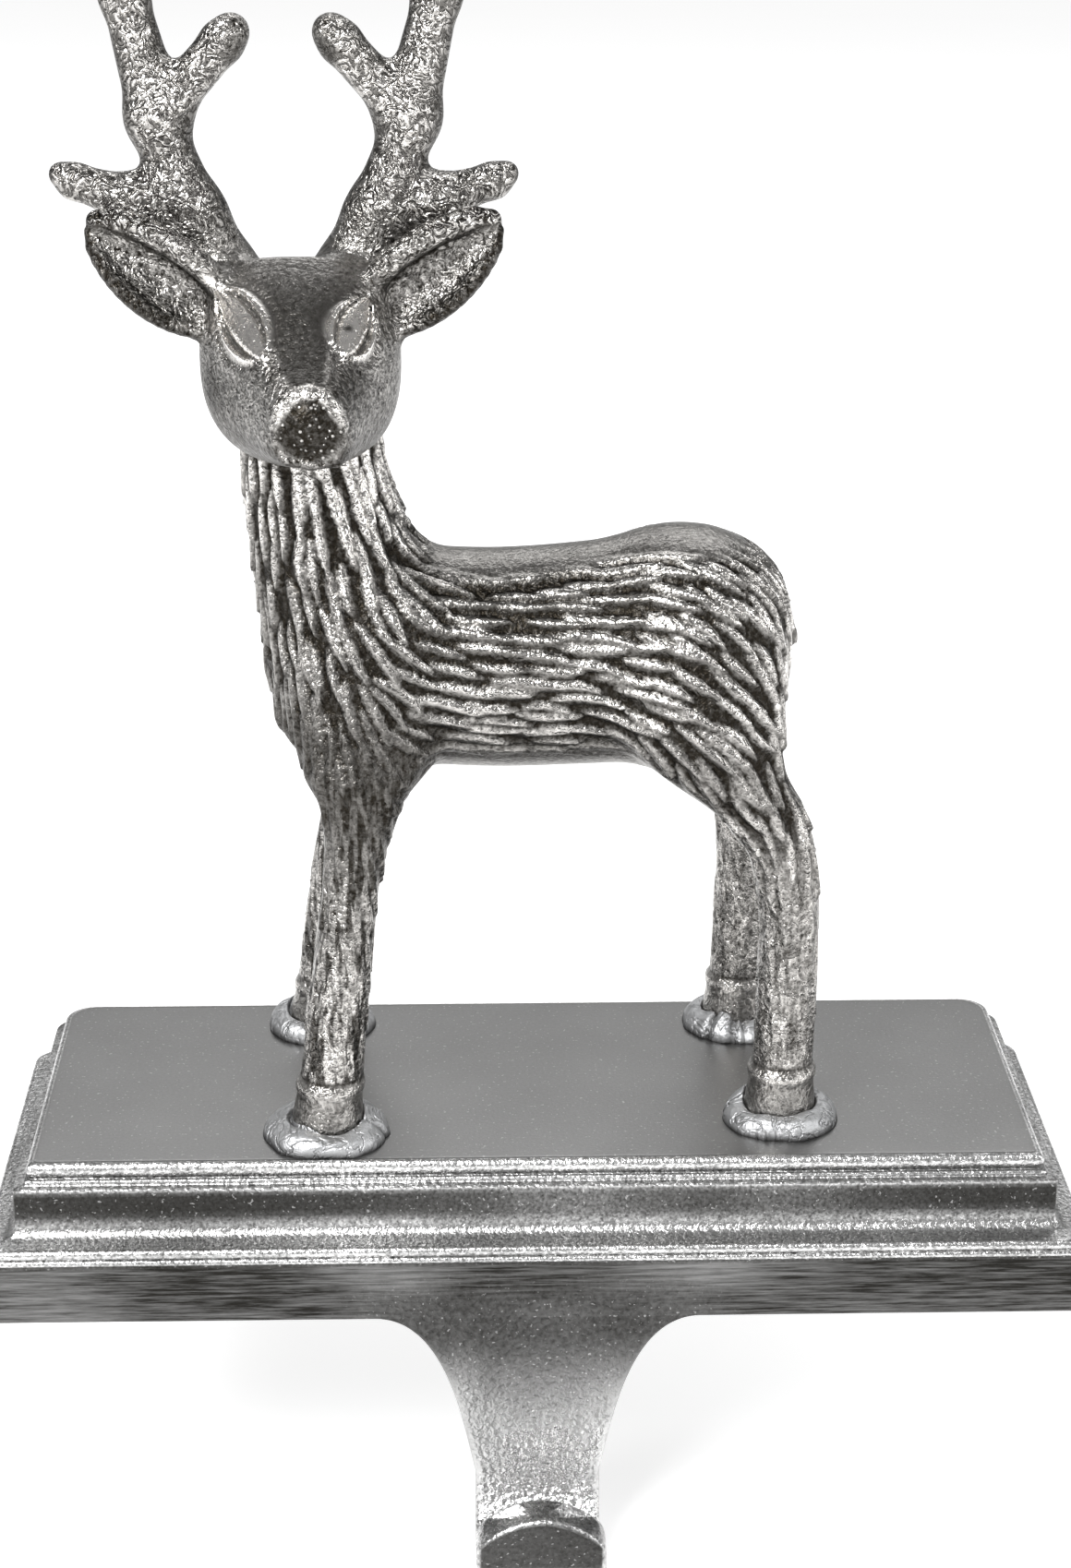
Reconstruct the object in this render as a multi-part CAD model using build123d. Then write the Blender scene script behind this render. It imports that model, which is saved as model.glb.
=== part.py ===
"""Mantel stocking holder: a cast stag on a moulded plinth, with a tongue and hook at the front edge.

Sizes are in millimetres. +X runs to the right along the mantel, +Y goes back over the shelf and +Z is up.
The origin is the middle of the seat on the shelf, under the pad.
"""
import os
from math import cos, pi, sin

from build123d import *

# Pad under the plinth
pad_thickness = 1.5
pad_inset = 4.0             # from the plinth's outer band to the pad's edge
pad_setback = 3.2           # from the tongue's back to the pad's front edge
pad_corner_radius = 3.0

# Plinth: flat top, then the mouldings in the order they go down
top_width = 120.0
top_depth = 44.0
bead_height = 2.4
bead_reach = 0.9
ledge_reach = 2.1           # from the flat top's edge to the frieze below the bead
frieze_height = 4.8
cove_radius = 1.6
shelf_width = 1.3           # flat between the cove's foot and the roll
roll_height = 2.2
roll_reach = 0.9
band_setback = 0.5          # from the roll's widest point back to the band
band_height = 7.5

# Tongue and hook
tongue_thickness = 5.2
tongue_back_fillet = 1.2    # under the plinth, behind the tongue
tongue_root_half_width = 20.4
tongue_flare_half_width = 11.0   # where the flank's curve turns down from the plinth's underside
tongue_waist_half_width = 9.2
tongue_waist_drop = 14.5         # from the plinth's underside
hook_half_width = 7.6
hook_gap = 13.0             # clear space between the tongue and the tip
hook_drop = 33.5            # from the plinth's underside to the hook's lowest point
hook_tip_rise = 17.0        # from the hook's lowest point to the top of its tip
hook_tip_crown = 3.6        # how far the tip's middle stands above its corners

# Flats round each kind of form, like those a knife leaves on a carved pattern
body_flats = 24
leg_flats = 14
rod_flats = 12              # antlers, nose and eyes
bead_flats = 20             # hooves and the beads round them

# Stag: heights are above the plinth's top, X and Y are from its middle
belly_height = 42.0
back_height = 68.4
rump_height = 71.2
chest_x = -32.0
rump_x = 30.4
body_y = 1.0
body_half_width = 12.3
neck_x = -25.4
neck_half_length = 8.5
neck_half_width = 8.0
leg_radius = 3.4
cuff_height = 7.4
cuff_radius = 3.9
hoof_radius = 4.4
front_near_hoof = (-25.3, -15.0)
front_far_hoof = (-27.0, 15.5)
hind_near_hoof = (29.8, -11.7)
hind_far_hoof = (26.8, 15.5)
shoulder_x = -20.0
shoulder_half_spread = 6.5
hip_x = 19.0
hip_half_spread = 7.0
front_lean = (0.18, 0.07)   # shares of the way from hoof to shoulder at the cuff's top, along X and Y
hind_lean = (-0.02, 0.01)

# Coat: the main locks, raised on the body where a level line across it meets its skin
lock_length = 10.6
lock_half_width = 1.4
lock_rise = 0.9             # how far a lock's back stands out of the skin
lock_depth = 1.2            # how far its foot reaches into the body
lock_tilt = 5.0             # degrees by which the tip stands out further than the root
coat_columns = ((0.24, 66), (0.35, 40), (0.46, 18), (0.57, 8), (0.68, 22), (0.79, 40), (0.89, 54))   # see coat
coat_rows = (0.14, 0.30, 0.46, 0.62, 0.76, 0.89)   # shares of the body's depth, up from the belly
coat_stagger = 0.055        # share of the body's length by which every second row is shifted
neck_columns = (-4.6, 0.2, 5.0)      # x from the neck's middle
neck_rows = (-1.0, -0.45, 0.06, 0.5)   # shares of the way from back to jaw
neck_fall = 84.0            # degrees

# Head, which is turned to look along -Y
head_x = -27.0
crown_height = 104.8
jaw_height = 81.0
head_half_width = 11.6
nose_turn = 2.2             # how far the nose points to the right of the head's middle
nose_reach = 25.5           # from the middle of the head to the nose's tip
nose_radius = 4.1
eye_share = 0.44            # of the way from the middle of the head to the nose
eye_angle = 42.0            # degrees up round the skull from its side
eye_half_length = 2.6
eye_half_height = 1.6
eye_bulge = 1.1
ear_root_share = 0.62       # of the head's half width, from its middle out to where an ear starts
ear_drop = 8.4              # from the crown down to an ear's root
ear_forward = 5.0           # from the middle of the head towards the nose
ear_length = 19.0
ear_width = 8.6
ear_thickness = 3.6
ear_lift = 36.0             # degrees above level

# Antlers
antler_shift = 1.2          # how far the antlers stand to the left of the head's middle
antler_half_spread = 7.6    # from between the beams to a beam's foot
antler_rise = 43.0          # from the crown to the tip of a beam
beam_radius = 3.0
tine_radius = 2.4
brow_reach = 16.5           # from a beam out to its brow tine's tip
inner_reach = 9.6           # from a beam in to its inner tine's tip
inner_rise = 10.8

# Filler beads that fix the hooves
fix_bead_radius = 7.2
fix_bead_height = 3.0
fix_crevice_depth = 1.2     # how far the bead rolls down where it meets the hoof

underside_z = pad_thickness
plinth_height = bead_height + frieze_height + cove_radius + roll_height + band_height
top_z = underside_z + plinth_height
band_reach = ledge_reach + cove_radius + shelf_width + roll_reach - band_setback
band_width = top_width + 2 * band_reach
band_depth = top_depth + 2 * band_reach
band_front_y = -band_depth / 2
body_depth = back_height - belly_height


def moulding_outline(flat_width):
    """Plinth's outline across a width: the flat top, and the same moulding going down at both ends."""
    edge = flat_width / 2
    bead_foot_z = top_z - bead_height
    frieze_foot_z = bead_foot_z - frieze_height
    cove_foot_z = frieze_foot_z - cove_radius
    roll_foot_z = cove_foot_z - roll_height
    frieze = edge + ledge_reach
    cove_foot = frieze + cove_radius
    roll_top = cove_foot + shelf_width
    band = edge + band_reach
    half = make_face([
        Line((0, top_z), (edge, top_z)).edge(),
        ThreePointArc((edge, top_z), (edge + bead_reach, top_z - bead_height / 2),
                      (edge, bead_foot_z)).edge(),
        Line((edge, bead_foot_z), (frieze, bead_foot_z)).edge(),
        Line((frieze, bead_foot_z), (frieze, frieze_foot_z)).edge(),
        CenterArc((cove_foot, frieze_foot_z), cove_radius, 180, 90).edge(),
        Line((cove_foot, cove_foot_z), (roll_top, cove_foot_z)).edge(),
        ThreePointArc((roll_top, cove_foot_z), (roll_top + roll_reach, cove_foot_z - roll_height / 2),
                      (band, roll_foot_z)).edge(),
        Line((band, roll_foot_z), (band, underside_z)).edge(),
        Line((band, underside_z), (0, underside_z)).edge(),
        Line((0, underside_z), (0, top_z)).edge(),
    ])
    return half + half.mirror(Plane.YZ)


def plinth():
    """The moulding runs along all four sides and is mitred at the corners."""
    reach = band_width
    from_front = extrude(Plane.XZ * moulding_outline(top_width), reach, both=True)
    from_side = extrude(Plane.YZ * moulding_outline(top_depth), reach, both=True)
    return from_front & from_side


def tongue_and_hook():
    """A strip bent in side view, trimmed to the outlines that the tongue and the tip have in front view."""
    outer_radius = hook_gap / 2 + tongue_thickness
    inner_radius = hook_gap / 2
    lowest_z = underside_z - hook_drop
    bend_z = lowest_z + outer_radius
    bend_y = band_front_y - inner_radius
    tip_z = lowest_z + hook_tip_rise
    root_z = underside_z + band_height / 2
    back_y = band_front_y + tongue_thickness
    tip_front_y = bend_y - outer_radius
    fillet_y = back_y + tongue_back_fillet
    fillet_z = underside_z - tongue_back_fillet
    side = make_face([
        Line((fillet_y, root_z), (fillet_y, underside_z)).edge(),
        CenterArc((fillet_y, fillet_z), tongue_back_fillet, 90, 90).edge(),
        Line((back_y, fillet_z), (back_y, bend_z)).edge(),
        CenterArc((bend_y, bend_z), outer_radius, 180, 180).edge(),
        Line((tip_front_y, bend_z), (tip_front_y, tip_z)).edge(),
        Line((tip_front_y, tip_z), (bend_y - inner_radius, tip_z)).edge(),
        Line((bend_y - inner_radius, tip_z), (bend_y - inner_radius, bend_z)).edge(),
        CenterArc((bend_y, bend_z), inner_radius, 180, 180).edge(),
        Line((band_front_y, bend_z), (band_front_y, root_z)).edge(),
        Line((band_front_y, root_z), (fillet_y, root_z)).edge(),
    ])
    strip = extrude(Plane.YZ * side, tongue_root_half_width, both=True)

    flank = Bezier(
        (tongue_root_half_width, underside_z), (tongue_flare_half_width, underside_z),
        (tongue_waist_half_width, underside_z - tongue_waist_drop), (hook_half_width, bend_z),
    ).edge()
    half_outline = make_face([
        Line((0, root_z), (tongue_root_half_width, root_z)).edge(),
        Line((tongue_root_half_width, root_z), (tongue_root_half_width, underside_z)).edge(),
        flank,
        Line((hook_half_width, bend_z), (hook_half_width, lowest_z)).edge(),
        Line((hook_half_width, lowest_z), (0, lowest_z)).edge(),
        Line((0, lowest_z), (0, root_z)).edge(),
    ])
    half_trim = extrude(Plane.XZ.offset(-fillet_y) * half_outline, fillet_y - bend_y)
    tongue_trim = half_trim + half_trim.mirror(Plane.YZ)

    shoulder_z = tip_z - hook_tip_crown
    tip_outline = make_face([
        Line((-hook_half_width, lowest_z), (hook_half_width, lowest_z)).edge(),
        Line((hook_half_width, lowest_z), (hook_half_width, shoulder_z)).edge(),
        ThreePointArc((hook_half_width, shoulder_z), (0, tip_z), (-hook_half_width, shoulder_z)).edge(),
        Line((-hook_half_width, shoulder_z), (-hook_half_width, lowest_z)).edge(),
    ])
    tip_trim = extrude(Plane.XZ.offset(-bend_y) * tip_outline, outer_radius)
    return strip & (tongue_trim + tip_trim)


def base_casting():
    return plinth() + tongue_and_hook()


def mantel_pad():
    front_y = band_front_y + tongue_thickness + pad_setback
    back_y = band_depth / 2 - pad_inset
    width = band_width - 2 * pad_inset
    plan = Pos(0, (front_y + back_y) / 2) * RectangleRounded(width, back_y - front_y, pad_corner_radius)
    return extrude(plan, pad_thickness)


def across_x(point):
    return Plane(origin=point, x_dir=(0, 1, 0), z_dir=(1, 0, 0))


def across_y(point):
    return Plane(origin=point, x_dir=(1, 0, 0), z_dir=(0, -1, 0))


def across_z(point):
    return Plane(origin=point, x_dir=(1, 0, 0), z_dir=(0, 0, 1))


def ring(plane, corners):
    return [plane.from_local_coords(Vector(*corner)) for corner in corners]


def oval(plane, half_length, half_width, flats):
    """Ring of points round an oval section, one for each flat, the way a carved pattern is cut."""
    turns = [2 * pi * i / flats for i in range(flats)]
    return ring(plane, [(half_length * cos(t), half_width * sin(t)) for t in turns])


def facet(*points):
    return Face(Wire.make_polygon(points))


def faceted(rings):
    """Solid with flat facets from each ring of points to the next, closed by a flat at both ends."""
    facets = [facet(*rings[0]), facet(*rings[-1])]
    for lower, upper in zip(rings, rings[1:]):
        for i in range(len(lower)):
            facets.append(facet(lower[i - 1], lower[i], upper[i]))
            facets.append(facet(lower[i - 1], upper[i], upper[i - 1]))
    return Solid(Shell(facets))


def torso():
    """Barrel from chest to rump. A station is (share of length, bottom, top, half width)."""
    length = rump_x - chest_x
    stations = [
        (0.00, belly_height + 10.4, back_height - 10.0, 0.30 * body_half_width),
        (0.05, belly_height + 6.0, back_height - 4.4, 0.62 * body_half_width),
        (0.13, belly_height + 3.0, back_height - 1.0, 0.84 * body_half_width),
        (0.27, belly_height + 0.6, back_height + 0.4, 0.98 * body_half_width),
        (0.44, belly_height, back_height, body_half_width),
        (0.62, belly_height + 0.2, back_height + 0.8, 0.97 * body_half_width),
        (0.76, belly_height + 0.8, rump_height, body_half_width),
        (0.84, belly_height + 1.8, rump_height - 0.2, 0.97 * body_half_width),
        (0.91, belly_height + 3.6, rump_height - 1.7, 0.87 * body_half_width),
        (0.965, belly_height + 6.8, rump_height - 4.4, 0.64 * body_half_width),
        (1.00, belly_height + 11.4, rump_height - 9.4, 0.28 * body_half_width),
    ]
    sections = []
    for share, bottom, top, half_width in stations:
        middle = Vector(chest_x + share * length, body_y, top_z + (bottom + top) / 2)
        sections.append(oval(across_x(middle), half_width, (top - bottom) / 2, body_flats))
    return faceted(sections)


def neck():
    """Column from the brisket up into the head. A station is (height, x, half length, half width)."""
    stations = [
        (belly_height + 0.5, shoulder_x - 0.6, 0.78 * neck_half_length, 0.62 * body_half_width),
        (belly_height + 7.0, shoulder_x - 0.6, 1.22 * neck_half_length, 0.95 * body_half_width),
        (belly_height + 18.0, shoulder_x - 1.4, 1.28 * neck_half_length, 0.93 * body_half_width),
        (back_height + 1.8, neck_x + 1.7, 1.13 * neck_half_length, 1.18 * neck_half_width),
        (back_height + 9.6, neck_x, neck_half_length, neck_half_width),
        (jaw_height + 8.0, head_x, 0.92 * neck_half_length, 0.95 * neck_half_width),
    ]
    sections = []
    for height, x, half_length, half_width in stations:
        middle = Vector(x, body_y, top_z + height)
        sections.append(oval(across_z(middle), half_length, half_width, body_flats))
    return faceted(sections)


def between(hoof, root, x_share, y_share, height):
    """Point part of the way from a hoof to the joint that carries its leg, at a height above the plinth."""
    x = hoof[0] + x_share * (root[0] - hoof[0])
    y = hoof[1] + y_share * (root[1] - hoof[1])
    return Vector(x, y, top_z + height)


def hoof_cuff(hoof, root, lean):
    foot = between(hoof, root, 0, 0, 0)
    top = between(hoof, root, *lean, cuff_height)
    return faceted([oval(across_z(foot), hoof_radius, hoof_radius, bead_flats),
                    oval(across_z(top), cuff_radius, cuff_radius, bead_flats)])


def leg(hoof, root, lean, stations):
    """Leg from inside its cuff up into the body, with its cuff.

    A station is (height, share of the way from hoof to root along X, the same along Y, half length,
    half width). The lean is the shares at the cuff's top.
    """
    inside = across_z(between(hoof, root, 0.5 * lean[0], 0.5 * lean[1], 0.5 * cuff_height))
    sections = [oval(inside, 0.9 * leg_radius, 0.9 * leg_radius, leg_flats)]
    for height, x_share, y_share, half_length, half_width in stations:
        middle = between(hoof, root, x_share, y_share, height)
        sections.append(oval(across_z(middle), half_length, half_width, leg_flats))
    return faceted(sections) + hoof_cuff(hoof, root, lean)


def front_leg_root(side):
    return (shoulder_x, body_y + side * shoulder_half_spread)


def hind_leg_root(side):
    return (hip_x, body_y + side * hip_half_spread)


def front_leg(hoof, side):
    r = leg_radius
    stations = [
        (0.66 * belly_height, 0.58, 0.32, 0.98 * r, 1.03 * r),
        (0.86 * belly_height, 0.80, 0.44, 1.12 * r, 1.12 * r),
        (0.97 * belly_height, 0.90, 0.52, 1.45 * r, 1.26 * r),
        (belly_height + 0.11 * body_depth, 0.95, 0.62, 2.05 * r, 1.45 * r),
        (belly_height + 0.67 * body_depth, 1.00, 1.00, 2.10 * r, 1.05 * r),
    ]
    return leg(hoof, front_leg_root(side), front_lean, stations)


def hind_leg(hoof, side):
    r = leg_radius
    stations = [
        (0.60 * belly_height, -0.06, 0.13, 1.05 * r, 1.06 * r),
        (0.78 * belly_height, 0.00, 0.20, 1.14 * r, 1.14 * r),
        (0.92 * belly_height, 0.25, 0.28, 1.50 * r, 1.28 * r),
        (belly_height + 0.10 * body_depth, 0.70, 0.38, 2.15 * r, 1.50 * r),
        (belly_height + 0.38 * body_depth, 0.92, 0.58, 2.70 * r, 1.70 * r),
        (belly_height + 0.80 * body_depth, 1.00, 1.00, 2.00 * r, 0.80 * r),
    ]
    return leg(hoof, hind_leg_root(side), hind_lean, stations)


def coat_lock(body, x, height, fall, side):
    """Pointed leaf on the skin of one flank. It falls towards the rump and stands out most at its tip."""
    start = Vector(x, body_y + side * band_depth, top_z + height)
    hits = body.find_intersection_points(Axis(start, (0, -side, 0)))
    point, outward = min(hits, key=lambda hit: (hit[0] - start).length)
    turn = fall * pi / 180
    way = Vector(cos(turn), 0, -sin(turn))
    skin = Plane(origin=point, x_dir=way - outward * way.dot(outward), z_dir=outward)
    tilted = skin.rotated((0, -lock_tilt, 0))

    def leaf(out, size):
        half_length = size * lock_length / 2
        half_width = size * lock_half_width
        corners = [(-half_length, 0), (0, -half_width), (half_length, 0), (0, half_width)]
        return ring(tilted.offset(out), corners)

    return faceted([leaf(-lock_depth, 1.0), leaf(lock_rise, 0.4)])


def coat(body):
    """Staggered rows of locks along both flanks and down the neck.

    A column of the flank is (share of the body's length, degrees by which its locks fall).
    """
    length = rump_x - chest_x
    locks = []
    for side in (-1, 1):
        for row, depth_share in enumerate(coat_rows):
            shift = coat_stagger * (row % 2)
            height = belly_height + depth_share * body_depth
            for share, fall in coat_columns:
                locks.append(coat_lock(body, chest_x + (share + shift) * length, height, fall, side))
        for share in neck_rows:
            height = back_height + share * (jaw_height - back_height)
            for out in neck_columns:
                locks.append(coat_lock(body, neck_x + out, height, neck_fall, side))
    return locks


def skull_stations():
    """Sections of the head as (share of the nose's reach, x, bottom, top, half width)."""
    shapes = [
        (-0.34, 7.5, 6.5, 0.50),
        (-0.24, 4.0, 2.8, 0.76),
        (-0.08, 1.0, 0.4, 0.95),
        (0.12, 0.0, 0.2, 1.00),
        (0.28, 0.2, 1.8, 0.94),
        (0.44, 0.8, 4.2, 0.82),
        (0.62, 1.8, 7.2, 0.65),
        (0.78, 2.8, 9.6, 0.52),
        (0.90, 3.6, 10.8, 0.43),
        (0.95, 4.6, 11.8, 0.32),
    ]
    return [(share, head_x + max(share, 0) * nose_turn, jaw_height + above_jaw, crown_height - below_crown,
             width * head_half_width) for share, above_jaw, below_crown, width in shapes]


def skull():
    """Wedge from the back of the head to the muzzle."""
    sections = []
    for share, x, bottom, top, half_width in skull_stations():
        middle = Vector(x, body_y - share * nose_reach, top_z + (bottom + top) / 2)
        sections.append(oval(across_y(middle), half_width, (top - bottom) / 2, body_flats))
    return faceted(sections)


def nose():
    """Round pad on the end of the muzzle."""
    bottom, top = skull_stations()[-1][2:4]
    tip = Vector(head_x + nose_turn, body_y - nose_reach, top_z + (bottom + top) / 2)
    r = nose_radius
    rings = [(1.6, 0.95), (0.7, 1.0), (0.2, 0.72), (0, 0.3)]
    centres = [tip + Vector(0, back * r, 0) for back, size in rings]
    return rod((0, -1, 0), centres, [size * r for back, size in rings])


def eye(side):
    """Almond that swells out of the skull's side, where a skull section says the surface is."""
    share, x, bottom, top, half_width = min(skull_stations(), key=lambda station: abs(station[0] - eye_share))
    turn = eye_angle * pi / 180
    middle = Vector(x + side * half_width * cos(turn), body_y - share * nose_reach,
                    top_z + (bottom + top) / 2 + (top - bottom) / 2 * sin(turn))
    face = Plane(origin=middle, x_dir=(1, side * 0.75, side * -0.5), z_dir=(side * 0.75, -1, 0.6))
    swell = [(-1.1 * eye_bulge, 1.0), (0.45 * eye_bulge, 0.9), (eye_bulge, 0.4)]
    return faceted([oval(face.offset(out), size * eye_half_length, size * eye_half_height, rod_flats)
                    for out, size in swell])


def ear(side):
    """Leaf of two arcs with a hollow scooped out of its front, growing out of the side of the skull."""
    half_length = ear_length / 2
    half_width = ear_width / 2
    leaf = make_face([
        ThreePointArc((0, 0), (half_length, half_width), (ear_length, 0)).edge(),
        ThreePointArc((ear_length, 0), (half_length, -half_width), (0, 0)).edge(),
    ])
    plate = extrude(Plane.XZ * leaf, ear_thickness / 2, both=True)
    scoop_radius = 1.1 * ear_width
    scoop = Pos(0.56 * ear_length, -ear_thickness / 2 - 0.86 * scoop_radius, 0) * Sphere(scoop_radius)
    shell = Rot(0, -ear_lift, 0) * (plate - scoop)
    if side < 0:
        shell = shell.mirror(Plane.YZ)
    root_x = head_x + side * ear_root_share * head_half_width
    return Pos(root_x, body_y - ear_forward, top_z + crown_height - ear_drop) * shell


def rod(along, points, radii):
    """Rod through points, with a radius at each. Its sections all stand square to one direction."""
    side_way = (0, 1, 0) if along[1] == 0 else (1, 0, 0)
    sections = []
    for point, radius in zip(points, radii):
        sections.append(oval(Plane(origin=point, x_dir=side_way, z_dir=along), radius, radius, rod_flats))
    return faceted(sections)


def antler(side):
    """Main beam with a brow tine that points out and an inner tine that points in."""
    foot = Vector(head_x - antler_shift + side * antler_half_spread, body_y + 1.0, top_z + crown_height)

    def at(out, back, rise_share):
        return foot + Vector(side * out, back, rise_share * antler_rise)

    beam = rod(
        (0, 0, 1),
        [at(-1.0, 0, -0.10), at(4.6, 0.3, 0.15), at(6.6, 1.0, 0.33), at(9.9, 2.3, 0.64), at(11.6, 3.6, 0.94),
         at(11.9, 3.8, 1)],
        [1.35 * beam_radius, 1.05 * beam_radius, 1.08 * beam_radius, 0.84 * beam_radius, 0.60 * beam_radius,
         0.25 * beam_radius],
    )
    brow_foot = at(2.6, 0.4, 0.08)
    brow = rod(
        (side, 0, 0),
        [brow_foot + Vector(side * share * brow_reach, -0.8 * share, lift)
         for share, lift in ((0, 0), (0.5, 1.8), (0.93, 4.4), (1, 5.0))],
        [1.25 * tine_radius, tine_radius, 0.6 * tine_radius, 0.2 * tine_radius],
    )
    inner_foot = at(6.6, 0.9, 0.32)
    inner = rod(
        (side * -inner_reach, 0, inner_rise),
        [inner_foot + Vector(side * -inner_reach * share, -0.8 * share, inner_rise * rise)
         for share, rise in ((0, 0), (0.86, 0.82), (1, 1))],
        [tine_radius, 0.95 * tine_radius, 0.45 * tine_radius],
    )
    return [beam, brow, inner]


def joined(pieces):
    """One solid, with each piece fused on in turn."""
    whole = pieces[0]
    for piece in pieces[1:]:
        whole = whole + piece
    return whole


def stag_casting():
    body = joined([torso(), neck(), front_leg(front_near_hoof, -1), front_leg(front_far_hoof, 1),
                   hind_leg(hind_near_hoof, -1), hind_leg(hind_far_hoof, 1)])
    figure = [body + coat(body), skull(), nose()]
    for side in (-1, 1):
        figure += [eye(side), ear(side)]
        figure += antler(side)
    return joined(figure)


def fixing_bead(hoof, root, lean):
    """Ring of filler metal that swells up round a hoof and dips into a crevice against it."""
    crest_radius = (fix_bead_radius + hoof_radius) / 2
    crevice_height = fix_bead_height - fix_crevice_depth

    def level(height, radius):
        return oval(across_z(Vector(hoof[0], hoof[1], top_z + height)), radius, radius, bead_flats)

    mound = faceted([level(0, fix_bead_radius), level(fix_bead_height / 2, 0.96 * fix_bead_radius),
                     level(fix_bead_height, crest_radius)])
    crevice = faceted([level(crevice_height, 0.88 * hoof_radius), level(fix_bead_height, crest_radius)])
    return mound - crevice - hoof_cuff(hoof, root, lean)


def hoof_beads():
    beads = []
    for hoof, side in ((front_near_hoof, -1), (front_far_hoof, 1)):
        beads.append(fixing_bead(hoof, front_leg_root(side), front_lean))
    for hoof, side in ((hind_near_hoof, -1), (hind_far_hoof, 1)):
        beads.append(fixing_bead(hoof, hind_leg_root(side), hind_lean))
    return Compound(children=[bead.solid() for bead in beads])


os.makedirs("parts", exist_ok=True)
for name, piece in (
    ("base_casting", base_casting()),
    ("stag_casting", stag_casting()),
    ("hoof_beads", hoof_beads()),
    ("mantel_pad", mantel_pad()),
):
    export_step(piece, f"parts/{name}.step")
    print(name, len(piece.solids()), "solid(s)", round(piece.volume), "mm3")
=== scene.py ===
# %% [markdown]
# # Mantel stocking holder
# A cast metal stag stands on a moulded plinth, and a tongue at the plinth's front edge ends in a hook.
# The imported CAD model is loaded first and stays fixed: it says where everything is, in metres.
# Each cell below then makes one piece or one finish, in millimetres, and puts it where the CAD has it.

# %% Load the frame
from math import cos, pi, radians, sin

import bmesh
import bpy
import numpy as np
from mathutils import Matrix, Vector


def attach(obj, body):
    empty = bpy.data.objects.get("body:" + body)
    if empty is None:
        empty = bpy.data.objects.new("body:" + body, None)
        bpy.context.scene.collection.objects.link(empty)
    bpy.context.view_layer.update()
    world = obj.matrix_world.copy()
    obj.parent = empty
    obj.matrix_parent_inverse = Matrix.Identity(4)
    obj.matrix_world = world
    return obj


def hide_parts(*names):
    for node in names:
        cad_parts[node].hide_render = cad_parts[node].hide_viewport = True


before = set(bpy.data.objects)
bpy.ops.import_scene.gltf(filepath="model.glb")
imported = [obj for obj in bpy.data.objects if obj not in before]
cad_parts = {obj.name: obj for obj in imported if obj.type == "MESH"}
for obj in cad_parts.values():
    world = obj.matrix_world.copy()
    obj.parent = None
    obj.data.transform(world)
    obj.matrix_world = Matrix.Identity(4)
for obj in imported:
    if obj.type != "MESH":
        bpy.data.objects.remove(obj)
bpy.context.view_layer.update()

# %% [markdown]
# ## From arrays to a mesh
# Every new piece is a numpy array of points and an array of four-cornered faces. One helper writes them into
# a mesh, closes seams and poles by merging doubled points, and keeps numbers that the finish needs, such as
# how worn a point is, as attributes. Edges sharper than the crease angle stay crisp under smooth shading.

# %% Mesh helper
MM = 0.001
SAME_POINT = 1e-7           # points nearer than this, in metres, are merged


def grid_faces(rows, columns):
    """Faces of a grid whose rows are loops: each joins columns c and c + 1 of rows r and r + 1."""
    index = np.arange(rows * columns).reshape(rows, columns)
    index = np.concatenate([index, index[:, :1]], axis=1)
    corners = (index[:-1, :-1], index[:-1, 1:], index[1:, 1:], index[1:, :-1])
    return np.stack([c.ravel() for c in corners], axis=1)


def make_piece(name, points, faces, crease, **attributes):
    """Mesh object from points in millimetres, faces as rows of indices, and one number per point."""
    mesh = bpy.data.meshes.new(name)
    mesh.from_pydata((points * MM).tolist(), [], faces.tolist())
    for key, values in attributes.items():
        layer = mesh.attributes.new(key, "FLOAT", "POINT")
        layer.data.foreach_set("value", np.ascontiguousarray(values, dtype=np.float32))
    work = bmesh.new()
    work.from_mesh(mesh)
    bmesh.ops.remove_doubles(work, verts=work.verts, dist=SAME_POINT)
    bmesh.ops.dissolve_degenerate(work, edges=work.edges, dist=SAME_POINT)
    work.to_mesh(mesh)
    work.free()
    mesh.shade_smooth()
    mesh.set_sharp_from_angle(angle=radians(crease))
    piece = bpy.data.objects.new(name, mesh)
    bpy.context.scene.collection.objects.link(piece)
    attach(piece, "root")
    print(name, len(mesh.vertices), "points", len(mesh.polygons), "faces")
    return piece


print("a grid of 3 rows and 8 columns has", len(grid_faces(3, 8)), "faces")

# %% [markdown]
# ## Shader maths as Python
# A finish is a small network of nodes, and drawing it by hand soon tangles. Writing it as arithmetic keeps it
# readable: a Wire stands for a socket, and adding or multiplying wires adds Math nodes.

# %% Wires


class Wire:
    """One output socket. Arithmetic with numbers or other wires makes Math nodes."""

    def __init__(self, finish, socket):
        self.finish = finish
        self.socket = socket

    def _math(self, operation, first, second):
        return self.finish.add("ShaderNodeMath", {"operation": operation}, {0: first, 1: second})

    def __add__(self, other):
        return self._math("ADD", self, other)

    def __sub__(self, other):
        return self._math("SUBTRACT", self, other)

    def __rsub__(self, other):
        return self._math("SUBTRACT", other, self)

    def __mul__(self, other):
        return self._math("MULTIPLY", self, other)

    def __abs__(self):
        return self._math("ABSOLUTE", self, 0.0)

    __radd__ = __add__
    __rmul__ = __mul__


print("wires add, subtract, multiply and take sizes")

# %% [markdown]
# ## A finish
# Every node comes from Finish.add, which takes the node's type, its settings and its sockets. The other methods
# name the few nodes that a cast metal needs: soft noise for grain, scattered pits, smooth steps and a bump.

# %% Finishes


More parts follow.
